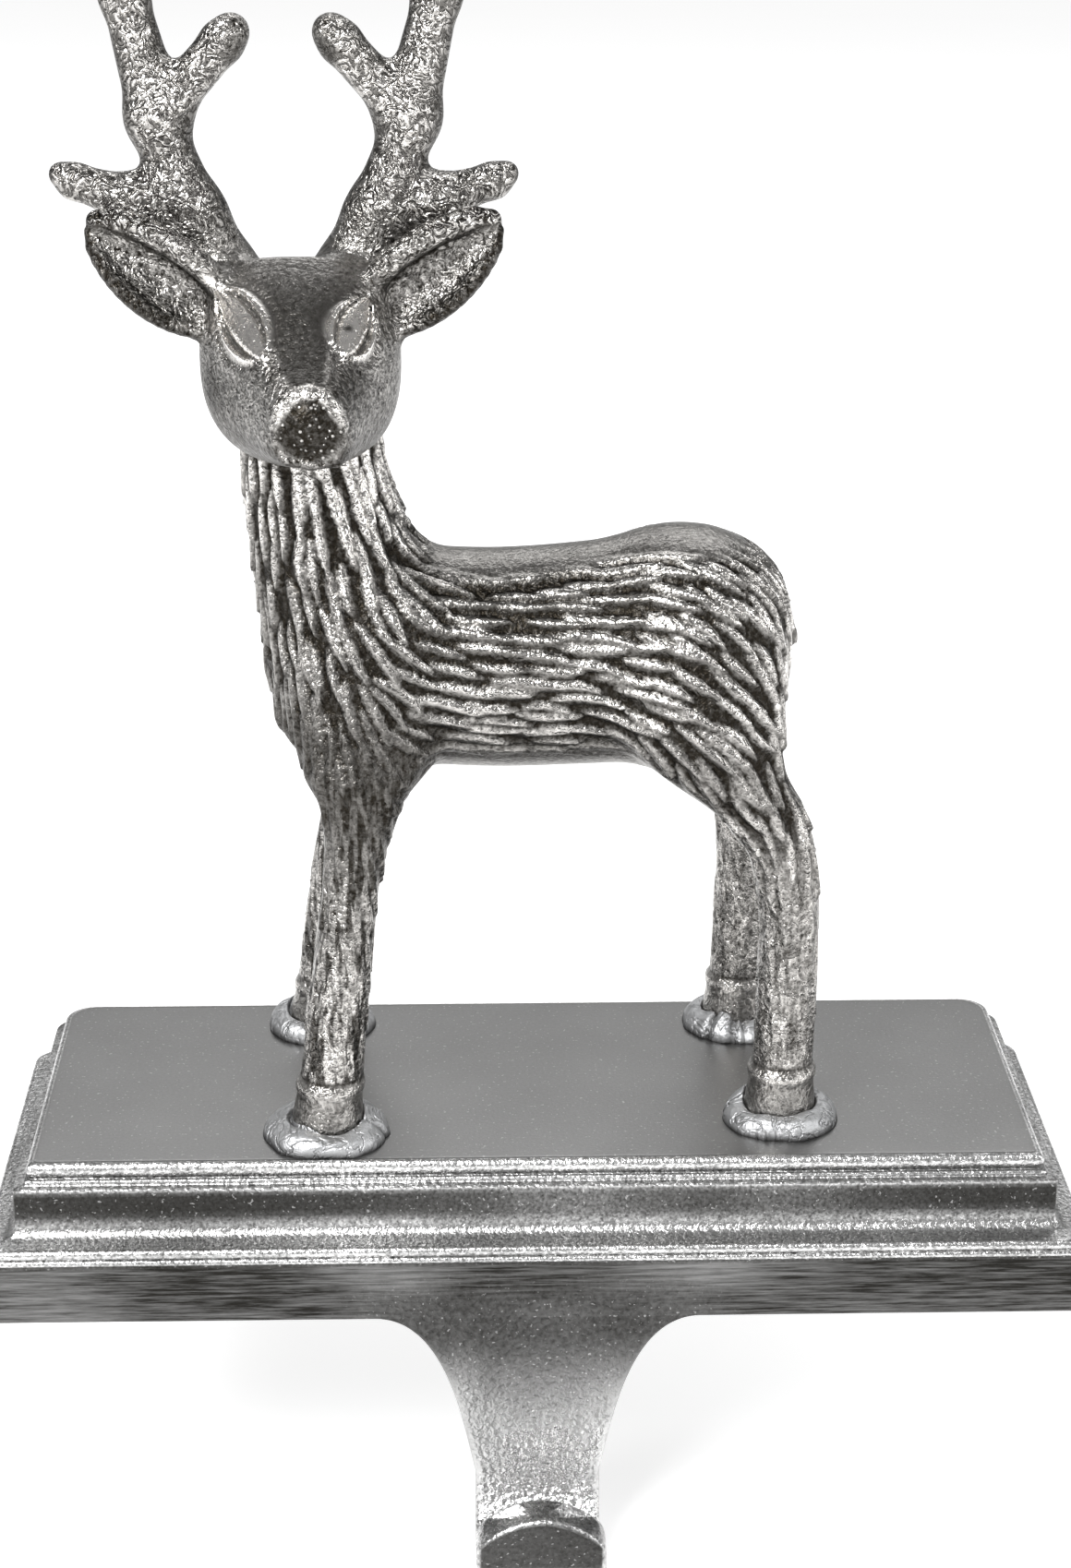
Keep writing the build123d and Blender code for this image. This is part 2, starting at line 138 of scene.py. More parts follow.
class Finish:
    """A material being written, with one principled shader at its end."""

    def __init__(self, name, **constants):
        self.material = bpy.data.materials.new(name)
        self.material.use_nodes = True
        self.tree = self.material.node_tree
        self.shader = self.tree.nodes["Principled BSDF"]
        self.feed(**constants)

    def add(self, kind, settings=None, sockets=None, output=0):
        """New node of a kind: its settings are set first, then its sockets; one output comes back as a wire."""
        node = self.tree.nodes.new(kind)
        for key, value in (settings or {}).items():
            setattr(node, key, value)
        for key, value in (sockets or {}).items():
            self.plug(node.inputs[key], value)
        return Wire(self, node.outputs[output])

    def plug(self, socket, value):
        """A wire is linked to the socket, and anything else becomes its fixed value."""
        if isinstance(value, Wire):
            self.tree.links.new(value.socket, socket)
        else:
            socket.default_value = value

    def feed(self, **sockets):
        """Plug the shader's own sockets, with an underscore for each space in a name."""
        for key, value in sockets.items():
            self.plug(self.shader.inputs[key.replace("_", " ")], value)

    def place(self):
        """Position on the piece in metres, in the part's own frame."""
        return self.add("ShaderNodeTexCoord", output="Object")

    def stretched(self, scale):
        """Position with each axis scaled, to draw a pattern out along one way."""
        return self.add("ShaderNodeMapping", {}, {"Vector": self.place(), "Scale": scale})

    def noise(self, grain_mm, detail=2.0, roughness=0.5, distortion=0.0, vector=None):
        """Soft random pattern whose blobs are about grain_mm across, from 0 to 1."""
        return self.add("ShaderNodeTexNoise", {}, {
            "Vector": vector or self.place(), "Scale": 0.6 / (grain_mm * MM), "Detail": detail,
            "Roughness": roughness, "Distortion": distortion})

    def pits(self, grain_mm):
        """Distance to the nearest of scattered points about grain_mm apart, near 0 at each point."""
        return self.add("ShaderNodeTexVoronoi", {}, {"Vector": self.place(), "Scale": 1 / (grain_mm * MM)})

    def attribute(self, name):
        """A number that make_piece stored at each point."""
        return self.add("ShaderNodeAttribute", {"attribute_name": name}, output="Fac")

    def step(self, value, low, high):
        """Smooth 0 to 1 as the value goes from low to high."""
        return self.add("ShaderNodeMapRange", {"interpolation_type": "SMOOTHSTEP"}, {
            "Value": value, "From Min": low, "From Max": high})

    def clamp(self, value):
        """The value kept between 0 and 1."""
        return self.add("ShaderNodeClamp", {}, {"Value": value})

    def blend(self, factor, first, second):
        """Colour mix: first where the factor is 0, second where it is 1."""
        return self.add("ShaderNodeMix", {"data_type": "RGBA"}, {
            "Factor": factor, "A": first, "B": second}, output=2)

    def bump(self, height, depth_mm, strength=1.0):
        """Normal tilted as if the height, from 0 to 1, stood depth_mm tall."""
        return self.add("ShaderNodeBump", {}, {
            "Height": height, "Distance": depth_mm * MM, "Strength": strength})

    def coat(self, *pieces):
        """Put the material on pieces, in place of any that they carry."""
        for piece in pieces:
            piece.data.materials.clear()
            piece.data.materials.append(self.material)
        print(self.material.name, len(self.tree.nodes), "nodes, on", len(pieces), "piece(s)")


print("finishes ready")

# %% [markdown]
# ## Smooth numbers
# Forms and tones alike are drawn with a few soft functions: a step, a spot, a curve through given values, and
# the smaller of two fields with the corner between them rounded off. All of them take whole arrays.

# %% Smooth numbers


def settle(start, end, value):
    """Smooth step from 0 at start to 1 at end."""
    t = np.clip((value - start) / (end - start), 0, 1)
    return t * t * (3 - 2 * t)


def spot(value, middle, half):
    """Soft bump: 1 at the middle and about a third at half away from it."""
    return np.exp(-((value - middle) / half) ** 2)


def towards(tone, share, target):
    """A number moved by a share of its way to a target."""
    return tone + share * (target - tone)


def curve(at, knots, values):
    """Smooth curve through (knot, value) pairs: cubic pieces whose slopes never overshoot the values."""
    knots = np.asarray(knots, float)
    values = np.asarray(values, float)
    gap = np.diff(knots)
    secant = np.diff(values) / gap
    slope = np.zeros(len(knots))
    same_way = secant[:-1] * secant[1:] > 0
    harmonic = 2 * secant[:-1] * secant[1:] / np.where(same_way, secant[:-1] + secant[1:], 1)
    slope[1:-1] = np.where(same_way, harmonic, 0)
    slope[0], slope[-1] = secant[0], secant[-1]
    where = np.clip(at, knots[0], knots[-1])
    piece = np.clip(np.searchsorted(knots, where) - 1, 0, len(gap) - 1)
    t = (where - knots[piece]) / gap[piece]
    start = values[piece] * (1 + 2 * t) * (1 - t) ** 2 + slope[piece] * gap[piece] * t * (1 - t) ** 2
    return start + values[piece + 1] * t * t * (3 - 2 * t) + slope[piece + 1] * gap[piece] * t * t * (t - 1)


def soft_min(a, b, reach):
    """The smaller of two fields, rounded off where they are within reach of each other."""
    share = np.clip(0.5 + 0.5 * (b - a) / reach, 0, 1)
    return b * (1 - share) + a * share - reach * share * (1 - share)


def soft_max(a, b, reach):
    """The larger of two fields, rounded off in the same way."""
    return -soft_min(-a, -b, reach)


print("where two fields with a reach of 4 mm meet, the fillet adds", -soft_min(0.0, 0.0, 4.0), "mm")

# %% [markdown]
# ## Forms as distance fields
# The stag is a smooth lump with legs, ears and antlers that run into each other, so a single grid of points
# can't wrap it. Clay is closer: each form is a field that is negative inside and positive outside, fields are
# merged with the soft minimum, which leaves the fillets of a casting, and the surface is where the field is zero.

# %% Forms


def dot(dx, dy, dz, way):
    """How far an offset goes along a way."""
    return dx * way[0] + dy * way[1] + dz * way[2]


def ovals(along, u, v, stations, power=2.0):
    """Form whose section is an oval at each place along an axis.

    A station is (place, middle u, middle v, half u, half v). Inside an oval the scaled radius is below 1, and
    the field is that radius less 1, in millimetres. Past the end stations the gap to the end is added.
    """
    knots, middle_u, middle_v, half_u, half_v = np.array(stations).T
    flat = along.ravel()
    shape = along.shape
    cu, cv, a, b = (curve(flat, knots, row).reshape(shape) for row in (middle_u, middle_v, half_u, half_v))
    size = (np.abs((u - cu) / a) ** power + np.abs((v - cv) / b) ** power) ** (1 / power)
    field = (size - 1) * np.sqrt(a * b)
    beyond = np.maximum(np.maximum(knots[0] - along, along - knots[-1]), 0)
    return np.where(beyond > 0, np.hypot(np.maximum(field, 0), beyond), field)


def ball(x, y, z, centre, radii):
    """Ellipsoid: the scaled distance from its middle, less 1, in millimetres."""
    size = np.sqrt(((x - centre[0]) / radii[0]) ** 2 + ((y - centre[1]) / radii[1]) ** 2
                   + ((z - centre[2]) / radii[2]) ** 2)
    return (size - 1) * min(radii)


def chain(x, y, z, points, radii, reach=0.6):
    """Round rod through points: nearest distance to each run, less the radius there, softly merged."""
    field = None
    for start, end, r0, r1 in zip(points[:-1], points[1:], radii[:-1], radii[1:]):
        way = np.subtract(end, start)
        t = dot(x - start[0], y - start[1], z - start[2], way) / way.dot(way)
        t = np.clip(t, 0, 1)
        gap = np.sqrt((x - start[0] - t * way[0]) ** 2 + (y - start[1] - t * way[1]) ** 2
                      + (z - start[2] - t * way[2]) ** 2)
        run = gap - (r0 + (r1 - r0) * t)
        field = run if field is None else soft_min(field, run, reach)
    return field


def rope(x, y, z, points, radius):
    """Even rod through points, of one radius."""
    return chain(x, y, z, points, [radius] * len(points))


def block(low, high, step):
    """Axes of a block of sample points, shaped so that arithmetic on them fills the block."""
    axes = [np.arange(l, h + step, step, dtype=np.float32) for l, h in zip(low, high)]
    return axes[0][:, None, None], axes[1][None, :, None], axes[2][None, None, :]


print("the field at the middle of a ball of 2 mm is", ball(0, 0, 0, (0, 0, 0), (2, 2, 2)), "mm")

# %% [markdown]
# ## Reading the surface off a field
# Surface nets: each small cube of samples that holds both signs gets one point, at the mean of the places where
# its edges cross zero, and each crossed edge of the lattice joins the four cubes round it with one face. It gives
# even four-cornered faces, which shade more smoothly than the slivers of marching cubes.

# %% Surface nets
CUBE = np.array([(i, j, k) for i in (0, 1) for j in (0, 1) for k in (0, 1)])
CUBE_EDGES = np.array([(a, b) for a in range(8) for b in range(a + 1, 8)
                       if np.abs(CUBE[a] - CUBE[b]).sum() == 1])


def surface(field, low, step):
    """Points and faces of the zero level of a field sampled every step from low."""
    inside = field < 0
    size = np.array(inside.shape) - 1
    count = np.zeros(size, np.uint8)
    for i, j, k in CUBE:
        count += inside[i:i + size[0], j:j + size[1], k:k + size[2]]
    mixed = (count > 0) & (count < 8)
    cells = np.argwhere(mixed)
    number = np.full(size, -1, np.int32)
    number[mixed] = np.arange(len(cells))

    corner = cells[:, None, :] + CUBE
    value = field[corner[..., 0], corner[..., 1], corner[..., 2]]
    first, second = value[:, CUBE_EDGES[:, 0]], value[:, CUBE_EDGES[:, 1]]
    crossed = (first < 0) != (second < 0)
    share = np.where(crossed, first / np.where(crossed, first - second, 1), 0)[..., None]
    place = CUBE[CUBE_EDGES[:, 0]] * (1 - share) + CUBE[CUBE_EDGES[:, 1]] * share
    middle = (place * crossed[..., None]).sum(1) / crossed.sum(1)[:, None]
    points = (cells + middle) * step + np.array(low)

    faces = []
    for axis in range(3):
        ahead = np.roll(inside, -1, axis)
        change = ahead != inside
        change[tuple(slice(-1, None) if a == axis else slice(None) for a in range(3))] = False
        at = np.argwhere(change)
        b, c = np.eye(3, dtype=int)[(axis + 1) % 3], np.eye(3, dtype=int)[(axis + 2) % 3]
        quad = np.stack([number[tuple((at - d).T)] for d in (0 * b, b, b + c, c)], axis=1)
        outward = inside[tuple(at.T)]
        faces.append(np.where(outward[:, None], quad, quad[:, ::-1]))
    return points, np.concatenate(faces)


def normals(points, faces):
    """Unit normal at each point: the sum of its faces' areas as vectors."""
    area = np.cross(points[faces[:, 2]] - points[faces[:, 0]], points[faces[:, 3]] - points[faces[:, 1]])
    total = np.stack([np.bincount(faces.ravel(), np.repeat(area[:, i], 4), len(points)) for i in range(3)], 1)
    return total / np.linalg.norm(total, axis=1, keepdims=True)


print("each cube of samples has", len(CUBE_EDGES), "edges")

# %% [markdown]
# ## The stag's proportions
# Torso, neck and legs are stacks of ovals at the same stations as the CAD. The body is kept a little slim here,
# because the coat's locks are raised on it afterwards.

# %% Body stations
TOP = 20.0                  # the plinth's flat top, above the seat
BODY_Y = 1.0

torso_stations = [          # x, lowest, highest, half width, heights above the plinth's top
    (-30.4, 54.6, 56.6, 1.0), (-29.6, 51.6, 60.0, 4.4), (-27.4, 48.0, 64.4, 7.8), (-23.4, 45.0, 67.4, 10.3),
    (-15.2, 42.6, 68.8, 12.0), (-4.5, 42.0, 68.4, 12.2), (6.7, 42.2, 69.2, 11.9), (15.4, 42.8, 71.2, 12.3),
    (20.4, 43.8, 71.0, 11.9), (25.0, 45.6, 69.5, 10.7), (28.3, 48.6, 66.9, 7.9), (30.2, 52.6, 62.6, 4.2),
    (30.9, 56.4, 58.8, 1.0)]
neck_stations = [           # height, x, y, half length, half width
    (42.5, -20.6, BODY_Y, 6.6, 7.6), (49.0, -20.6, BODY_Y, 10.4, 11.5), (60.0, -21.4, BODY_Y, 10.8, 11.2),
    (70.2, -23.7, BODY_Y, 9.6, 9.4), (78.0, -25.4, BODY_Y, 8.5, 8.2), (92.0, -27.0, BODY_Y, 7.8, 7.6)]
front_leg_stations = [      # height, share of the way from hoof to joint along x and y, half length and width
    (3.0, 0.08, 0.03, 1.12, 1.12), (12.0, 0.24, 0.12, 1.10, 1.10), (27.7, 0.58, 0.32, 1.00, 1.03),
    (36.1, 0.80, 0.44, 1.12, 1.12), (40.7, 0.90, 0.52, 1.45, 1.26), (44.9, 0.95, 0.62, 2.05, 1.45),
    (59.7, 1.00, 1.00, 2.10, 1.05)]
far_leg_stations = [        # the far front leg leans later on its way up
    (3.0, 0.03, 0.03, 1.03, 1.03), (12.0, 0.16, 0.12, 1.00, 1.00), (27.7, 0.50, 0.32, 0.98, 1.03),
    (36.1, 0.75, 0.44, 1.12, 1.12), (40.7, 0.88, 0.52, 1.45, 1.26), (44.9, 0.95, 0.62, 2.05, 1.45),
    (59.7, 1.00, 1.00, 2.10, 1.05)]
hind_leg_stations = [
    (3.0, -0.01, 0.0, 1.08, 1.08), (12.0, -0.035, 0.06, 1.07, 1.07), (25.2, -0.06, 0.13, 1.06, 1.06),
    (32.8, 0.00, 0.20, 1.14, 1.14), (38.6, 0.25, 0.28, 1.50, 1.28), (44.6, 0.70, 0.38, 2.15, 1.50),
    (52.0, 0.92, 0.58, 2.70, 1.70), (63.1, 1.00, 1.00, 2.00, 0.80)]
print(len(torso_stations), "ovals along the torso and", len(neck_stations), "up the neck")

# %% [markdown]
# ## Legs
# Each leg leans from its hoof to its joint inside the body, and ends in a cuff with a raised ring at its top,
# where the filler metal meets it. A cuff leans with its leg, so its rings slide from the hoof's middle.

# %% Legs
LEG_R = 3.4
CUFF_TOP = 7.4
CUFF_RINGS = (              # height, radius
    (-0.4, 4.5), (3.2, 4.2), (5.6, 3.95), (6.3, 4.2), (7.0, 4.15), (CUFF_TOP, 3.8))
FRONT_NEAR, FRONT_FAR = (-25.3, -15.0), (-27.0, 15.5)
HIND_NEAR, HIND_FAR = (29.8, -11.7), (26.8, 15.5)
SHOULDER_X, SHOULDER_OUT = -20.0, 6.5
HIP_X, HIP_OUT = 19.0, 7.0
FRONT_LEAN, HIND_LEAN = (0.14, 0.07), (-0.02, 0.01)     # share of the way to the joint at the cuff's top


def leg_field(x, y, z, hoof, joint, stations, lean):
    """A leg's ovals from hoof to joint, and its cuff, which widens down to the hoof."""

    def on_way(share_x, share_y):
        return hoof[0] + share_x * (joint[0] - hoof[0]), hoof[1] + share_y * (joint[1] - hoof[1])

    limb = ovals(z, x, y, [(h, *on_way(sx, sy), LEG_R * a, LEG_R * b) for h, sx, sy, a, b in stations])
    top_x, top_y = on_way(*lean)
    rings = [(h, top_x * h / CUFF_TOP + hoof[0] * (1 - h / CUFF_TOP),
              top_y * h / CUFF_TOP + hoof[1] * (1 - h / CUFF_TOP), r, r) for h, r in CUFF_RINGS]
    return limb, ovals(z, x, y, rings)


print("legs", 2 * LEG_R, "mm thick over cuffs", CUFF_TOP, "mm tall")

# %% [markdown]
# ## The stag's body
# The forms are merged one after another, the muscles of the thigh and the shoulder blade before the legs. A wide
# reach gives the soft run of neck into chest; a narrow one keeps the cuffs crisp.

# %% Body form
NECK_BLEND, MUSCLE_BLEND, LEG_BLEND, CUFF_BLEND = 4.0, 3.0, 3.4, 0.2
NECK_CUT = 91.0             # the neck ends inside the skull
BODY_STEP = 0.41


def neck_field(x, y, z, slim=0.0):
    """The neck's ovals, each made slimmer by the same amount."""
    return ovals(z, x, y, [(h, cx, cy, a - slim, b - slim) for h, cx, cy, a, b in neck_stations])


def body_field(x, y, z):
    """All the body's forms, softly merged; z is the height above the plinth's top."""
    field = ovals(x, y, z, [(s, BODY_Y, (low + high) / 2, w, (high - low) / 2)
                            for s, low, high, w in torso_stations])
    field = soft_min(field, neck_field(x, y, z), NECK_BLEND)
    for side, front, front_stations, hind in ((-1, FRONT_NEAR, front_leg_stations, HIND_NEAR),
                                              (1, FRONT_FAR, far_leg_stations, HIND_FAR)):
        thigh = ball(x, y, z, (19.0, BODY_Y + side * 6.0, 55.0), (9.6, 7.0, 13.0))
        blade = ball(x, y, z, (-18.5, BODY_Y + side * 6.4, 54.0), (7.6, 6.2, 11.0))
        field = soft_min(soft_min(field, thigh, MUSCLE_BLEND), blade, MUSCLE_BLEND)
        shoulder = (SHOULDER_X, BODY_Y + side * SHOULDER_OUT)
        hip = (HIP_X, BODY_Y + side * HIP_OUT)
        for leg in ((front, shoulder, front_stations, FRONT_LEAN), (hind, hip, hind_leg_stations, HIND_LEAN)):
            limb, cuff = leg_field(x, y, z, *leg)
            field = soft_min(soft_min(field, limb, LEG_BLEND), cuff, CUFF_BLEND)
    return np.maximum(field, z - NECK_CUT)


body_low, body_high = (-36.0, -21.5, -0.6), (37.0, 22.0, 92.5)
x, y, z = block(body_low, body_high, BODY_STEP)
body_points, body_faces = surface(np.maximum(body_field(x, y, z), -z), body_low, BODY_STEP)
body_normals = normals(body_points, body_faces)
print("body", len(body_points), "points", 2 * len(body_faces), "triangles")

# %% [markdown]
# ## Which way the coat lies
# The carver cut the coat as long pointed locks that overlap like shingles: straight down the neck, sweeping over
# the shoulder into level rows on the flank, then slanting down the rump and thigh. The flow gives that direction
# at each point, and the mask leaves the spine, the belly and the lower legs bare.

# %% Coat flow


def coat_flow(points, normal):
    """Unit direction of the coat along the surface, blended between the parts of the body."""
    px, ph = points[:, 0], points[:, 2]
    neck_share = settle(-9, -17, px) * settle(57, 67, ph)
    chest_share = settle(-12, -21, px) * (1 - neck_share)
    rump_share = settle(10, 22, px) * settle(44, 56, ph)
    thigh_share = settle(8, 16, px) * settle(54, 44, ph)
    slope = np.zeros_like(points)
    slope[:, 0], slope[:, 2] = 1.0, -0.10 - 0.25 * settle(-4, -14, px)
    for share, way in ((neck_share, (0.16, -1.0)), (chest_share, (0.30, -1.0)), (rump_share, (0.72, -0.70)),
                       (thigh_share, (0.52, -0.86))):
        slope[:, 0] = towards(slope[:, 0], share, way[0])
        slope[:, 2] = towards(slope[:, 2], share, way[1])
    slope = towards(slope, settle(25, 30, px)[:, None], np.array([0.1, 0, -1.0]))
    slope -= (slope * normal).sum(1, keepdims=True) * normal
    return slope / np.linalg.norm(slope, axis=1, keepdims=True)


def coat_mask(points, normal):
    """1 where the coat is cut, 0 on the bare strips along the spine and belly, faint on the lower legs."""
    px, ph = points[:, 0], points[:, 2]
    spine = settle(0.80, 0.94, normal[:, 2]) * settle(-16, -12, px)
    belly = settle(-0.45, -0.75, normal[:, 2]) * settle(36, 40, ph)
    low = np.maximum(0.62 * settle(38, 26, ph), settle(14, 8.5, ph))
    low = np.maximum(low, 0.5 * settle(52, 42, ph) * settle(-6, -10, px))
    return np.clip(1 - np.maximum(spine, np.maximum(belly, low)), 0, 1)


flow = coat_flow(body_points, body_normals)
mask = coat_mask(body_points, body_normals)
print("the coat covers", round(100 * mask.mean()), "% of the body's points")

# %% [markdown]
# ## The locks
# Locks are scattered in random order, leaving out any that would start on top of another; the seed is fixed, so
# every run gives the same coat. Each lock then raises the surface under a leaf-shaped ridge that is highest
# towards its tip, and between the locks the surface is cut back.

# %% Locks
LOCK_SEED = 7
LOCK_TRIES = 16000
LOCK_APART = (5.2, 1.45, 5.0)                   # along the coat, across it and through the body
LOCK_LENGTH, LOCK_HALF_WIDTH = (6.5, 11.5), (0.70, 1.02)
LOCK_BEND, LOCK_TALL = (-0.8, 0.8), (0.7, 1.0)
LEG_LOCKS_BELOW, LEG_LOCK_SHARE = 38, 0.7       # locks on the legs are narrower
COAT_RISE, COAT_CUT = 0.60, 0.40
lock_random = np.random.default_rng(LOCK_SEED)


def scatter_locks(points, normal, flow, mask):
    """Pick points for locks in random order, leaving out any too near one already picked."""
    order = lock_random.permutation(np.flatnonzero(mask > 0.25))[:LOCK_TRIES]
    chosen = np.empty(0, int)
    for candidate in order:
        gap = points[chosen] - points[candidate]
        along = gap @ flow[candidate] / LOCK_APART[0]
        across = gap @ np.cross(normal[candidate], flow[candidate]) / LOCK_APART[1]
        through = gap @ normal[candidate] / LOCK_APART[2]
        if not len(chosen) or (along ** 2 + across ** 2 + through ** 2).min() > 1:
            chosen = np.append(chosen, candidate)
    return chosen


def lock_relief(points, normal, flow, chosen):
    """Height from 0 to 1 of the locks: a leaf in plan, round across, rising towards its tip, the highest wins."""
    relief = np.zeros(len(points))
    for lock in chosen:
        length = lock_random.uniform(*LOCK_LENGTH)
        on_leg = points[lock, 2] <= LEG_LOCKS_BELOW
        half_width = lock_random.uniform(*LOCK_HALF_WIDTH) * (LEG_LOCK_SHARE if on_leg else 1.0)
        bend = lock_random.uniform(*LOCK_BEND)
        tall = lock_random.uniform(*LOCK_TALL)
        near = np.flatnonzero(np.abs(points - points[lock]).max(1) < 0.6 * length)
        gap = points[near] - points[lock]
        s = gap @ flow[lock] / length + 0.5
        across = gap @ np.cross(normal[lock], flow[lock]) - bend * (2 * s - 1) ** 2
        through = np.abs(gap @ normal[lock]) < 4.0
        inside = np.clip(s, 0, 1)
        plan = half_width * np.minimum(1, 2.6 * (1 - inside)) ** 0.6 * np.minimum(1, 0.35 + 2.0 * inside)
        ridge = np.clip(1 - np.abs(across / np.maximum(plan, 0.05)) ** 2.4, 0, 1)
        rise = tall * (0.35 + 0.65 * inside) * settle(0, 0.18, s) * settle(1.03, 0.95, s)
        relief[near] = np.maximum(relief[near], np.where(through & (s > 0) & (s < 1.03), ridge * rise, 0))
    return relief


locks = scatter_locks(body_points, body_normals, flow, mask)
relief = lock_relief(body_points, body_normals, flow, locks)
lift = mask * ((COAT_RISE + COAT_CUT) * relief - COAT_CUT)
body_points = body_points + body_normals * lift[:, None]
body_points[:, 2] = np.maximum(body_points[:, 2], 0) + TOP
print(len(locks), "locks, up to", round(lift.max(), 2), "mm proud")

# %% [markdown]
# ## Where the body is rubbed, and its painted light
# A casting like this is usually darkened and rubbed back, so raised locks are bright and the cuts stay dark.
# Light
# is painted on as well: each lock is bright on its side tilted up and towards the head. Numbers from 0, dark, to
# 1,
# bright, are worked out at each point: upper neck, back and rump get painted highlights, the chest and lower
# flanks painted shade, and each cuff has a bright ring with a dark line over it.

# %% Body tones
# Painted light from above and towards the head: a lock's side tilted that way is painted bright, the other side
# painted shade.
PAINTED_LIGHT_WAY = np.array([-0.45, 0.0, 0.90])
painted_lit_side = settle(-0.40, 0.40, (normals(body_points, body_faces) - body_normals) @ PAINTED_LIGHT_WAY)
body_x, body_height = body_points[:, 0], body_points[:, 2] - TOP
leg_share = settle(40, 28, body_height)
front_leg = settle(52, 42, body_height) * settle(-8, -12, body_x)
cuff_share = settle(7.9, 7.5, body_height)
lock_top = mask * settle(0.30, 0.65, relief)

# Painted shade on the chest and the lower flanks; painted highlights on the upper neck, the back's top and the
# rump.
body_painted_light = 1.0 - 0.55 * settle(60, 48, body_height) * settle(-8, -20, body_x) * settle(24, 34, body_height)
body_painted_light *= 1.0 - 0.50 * settle(54, 45, body_height) * settle(38, 42, body_height)
body_painted_light *= 1.0 + 1.00 * settle(64, 76, body_height)
body_painted_light *= 1.0 + 0.55 * settle(12, 26, body_x)
# A lock's tone: dark in the cuts and bright on its top, with painted light on its upper side and the zones above.
lock_tone = 0.01 + 0.70 * body_painted_light * settle(0.10, 0.55, relief) * (0.18 + 0.82 * painted_lit_side)
bare_tone = 0.26 + 0.10 * leg_share
# The legs' locks also get painted light on their upper sides.
leg_tone = 0.42 + 0.12 * front_leg + 0.35 * relief * painted_lit_side

body_polish = bare_tone * (1 - mask) + mask * lock_tone
body_polish = towards(body_polish, leg_share, leg_tone)
body_polish *= 1 - 0.35 * front_leg * settle(14, 34, body_height)
body_polish = towards(body_polish, cuff_share, 0.34)
body_polish = towards(body_polish, spot(body_height, 6.6, 0.40), 0.60)
body_polish = towards(body_polish, spot(body_height, 7.8, 0.30), 0.08)
body_grit = 0.45 + 0.35 * np.maximum(mask, leg_share) * (1 - 0.4 * cuff_share)
stag_body = make_piece("stag_body", body_points, body_faces, 180.0, polish=body_polish,
                       grit=body_grit * (1 - 0.55 * lock_top),
                       worm=(0.35 * mask + 0.30 * leg_share) * (1 - 0.4 * cuff_share),
                       streak=np.maximum(front_leg, 0.6 * leg_share) * (1 - cuff_share), nose=0 * mask)

# %% [markdown]
# ## Eyes
# The head looks at the viewer. Its eyes are carved almonds, each a lens between an inner corner and an outer tip,
# so one number says where a point lies in an eye, and the ball, the lids and the cuts are rings of that number.

# %% Eyes
LEFT_EYE = ((-35.8, -5.8, 101.2), (-29.9, -16.6, 95.3), (-0.50, -0.61, 0.62), 2.35)
RIGHT_EYE = ((-19.0, -8.2, 100.2), (-21.4, -16.8, 95.6), (0.53, -0.51, 0.68), 2.25)


def almond(x, y, z, eye):
    """Place in an eye: 0 on its long middle line and 1 on its outline, a lens from the corner to the tip."""
    corner, tip, outward, half = eye
    long_way = np.subtract(tip, corner)
    length = np.linalg.norm(long_way)
    long_way = long_way / length
    offset = (x - corner[0], y - corner[1], z - corner[2])
    share = dot(*offset, long_way) / length
    gap = dot(*offset, np.cross(outward, long_way))
    lens = half * np.clip(4 * share * (1 - share), 0.05, 1) ** 0.65
    beyond = length * np.maximum(np.maximum(-share, share - 1), 0)
    return np.where(np.abs(dot(*offset, outward)) < 4, np.hypot(gap / lens, beyond / 0.7), 9.0)


def eye_relief(place):
    """Height of an eye over the face: a round ball, a cut about it, the lids' crest and a faint outer cut."""
    eyeball = 0.60 * np.sqrt(np.clip(1 - (place / 0.74) ** 2, 0, 1))
    cut = 0.50 * spot(place, 0.84, 0.13)
    lids = 0.65 * spot(place, 1.14, 0.18)
    outer_cut = 0.25 * spot(place, 1.55, 0.18)
    return eyeball - cut + lids - outer_cut


print("an eyeball stands", eye_relief(0.0).round(2), "mm proud and its lids", eye_relief(1.14).round(2), "mm")

# %% [markdown]
# ## Skull
# The head is a wedge of rounded boxes from the back of the skull to the muzzle, shaved flat along the forehead
# and both cheeks, as a carver would start it. Eyes, a round nose pad with its rim, and the mouth's line go on it.

# %% Skull
HEAD_X = -27.0
CROWN = 104.8
SKULL_POWER = 2.7           # 2 gives ovals, more gives rounded boxes
skull_stations = [          # y, x, lowest, highest, half width
    (-23.4, -24.9, 85.2, 93.2, 4.2), (-22.0, -25.0, 84.6, 94.0, 5.0), (-18.9, -25.3, 83.8, 95.4, 6.0),
    (-14.8, -25.6, 82.8, 97.8, 7.6), (-10.2, -26.0, 81.8, 100.8, 9.6), (-6.1, -26.4, 81.2, 103.2, 11.0),
    (-2.1, -26.7, 81.0, 104.7, 11.5), (3.0, -27.0, 82.0, 104.4, 10.9), (7.1, -27.0, 85.0, 102.0, 8.8),
    (9.7, -27.0, 89.0, 98.5, 5.6), (10.6, -27.0, 92.0, 95.0, 2.0)]
FLATS = (                   # a point on the flat, the way it faces, and how far its edge is rounded
    ((HEAD_X, -3.2, 104.3), (0.0, 0.51, 0.86), 0.8),
    ((-35.2, -11.1, 90.0), (-0.874, -0.446, 0.190), 1.0),
    ((-18.0, -14.7, 91.8), (0.877, -0.371, 0.305), 1.0))
NOSE, NOSE_SIZE = (-24.9, -21.4, 89.5), (3.75, 3.2, 3.9)
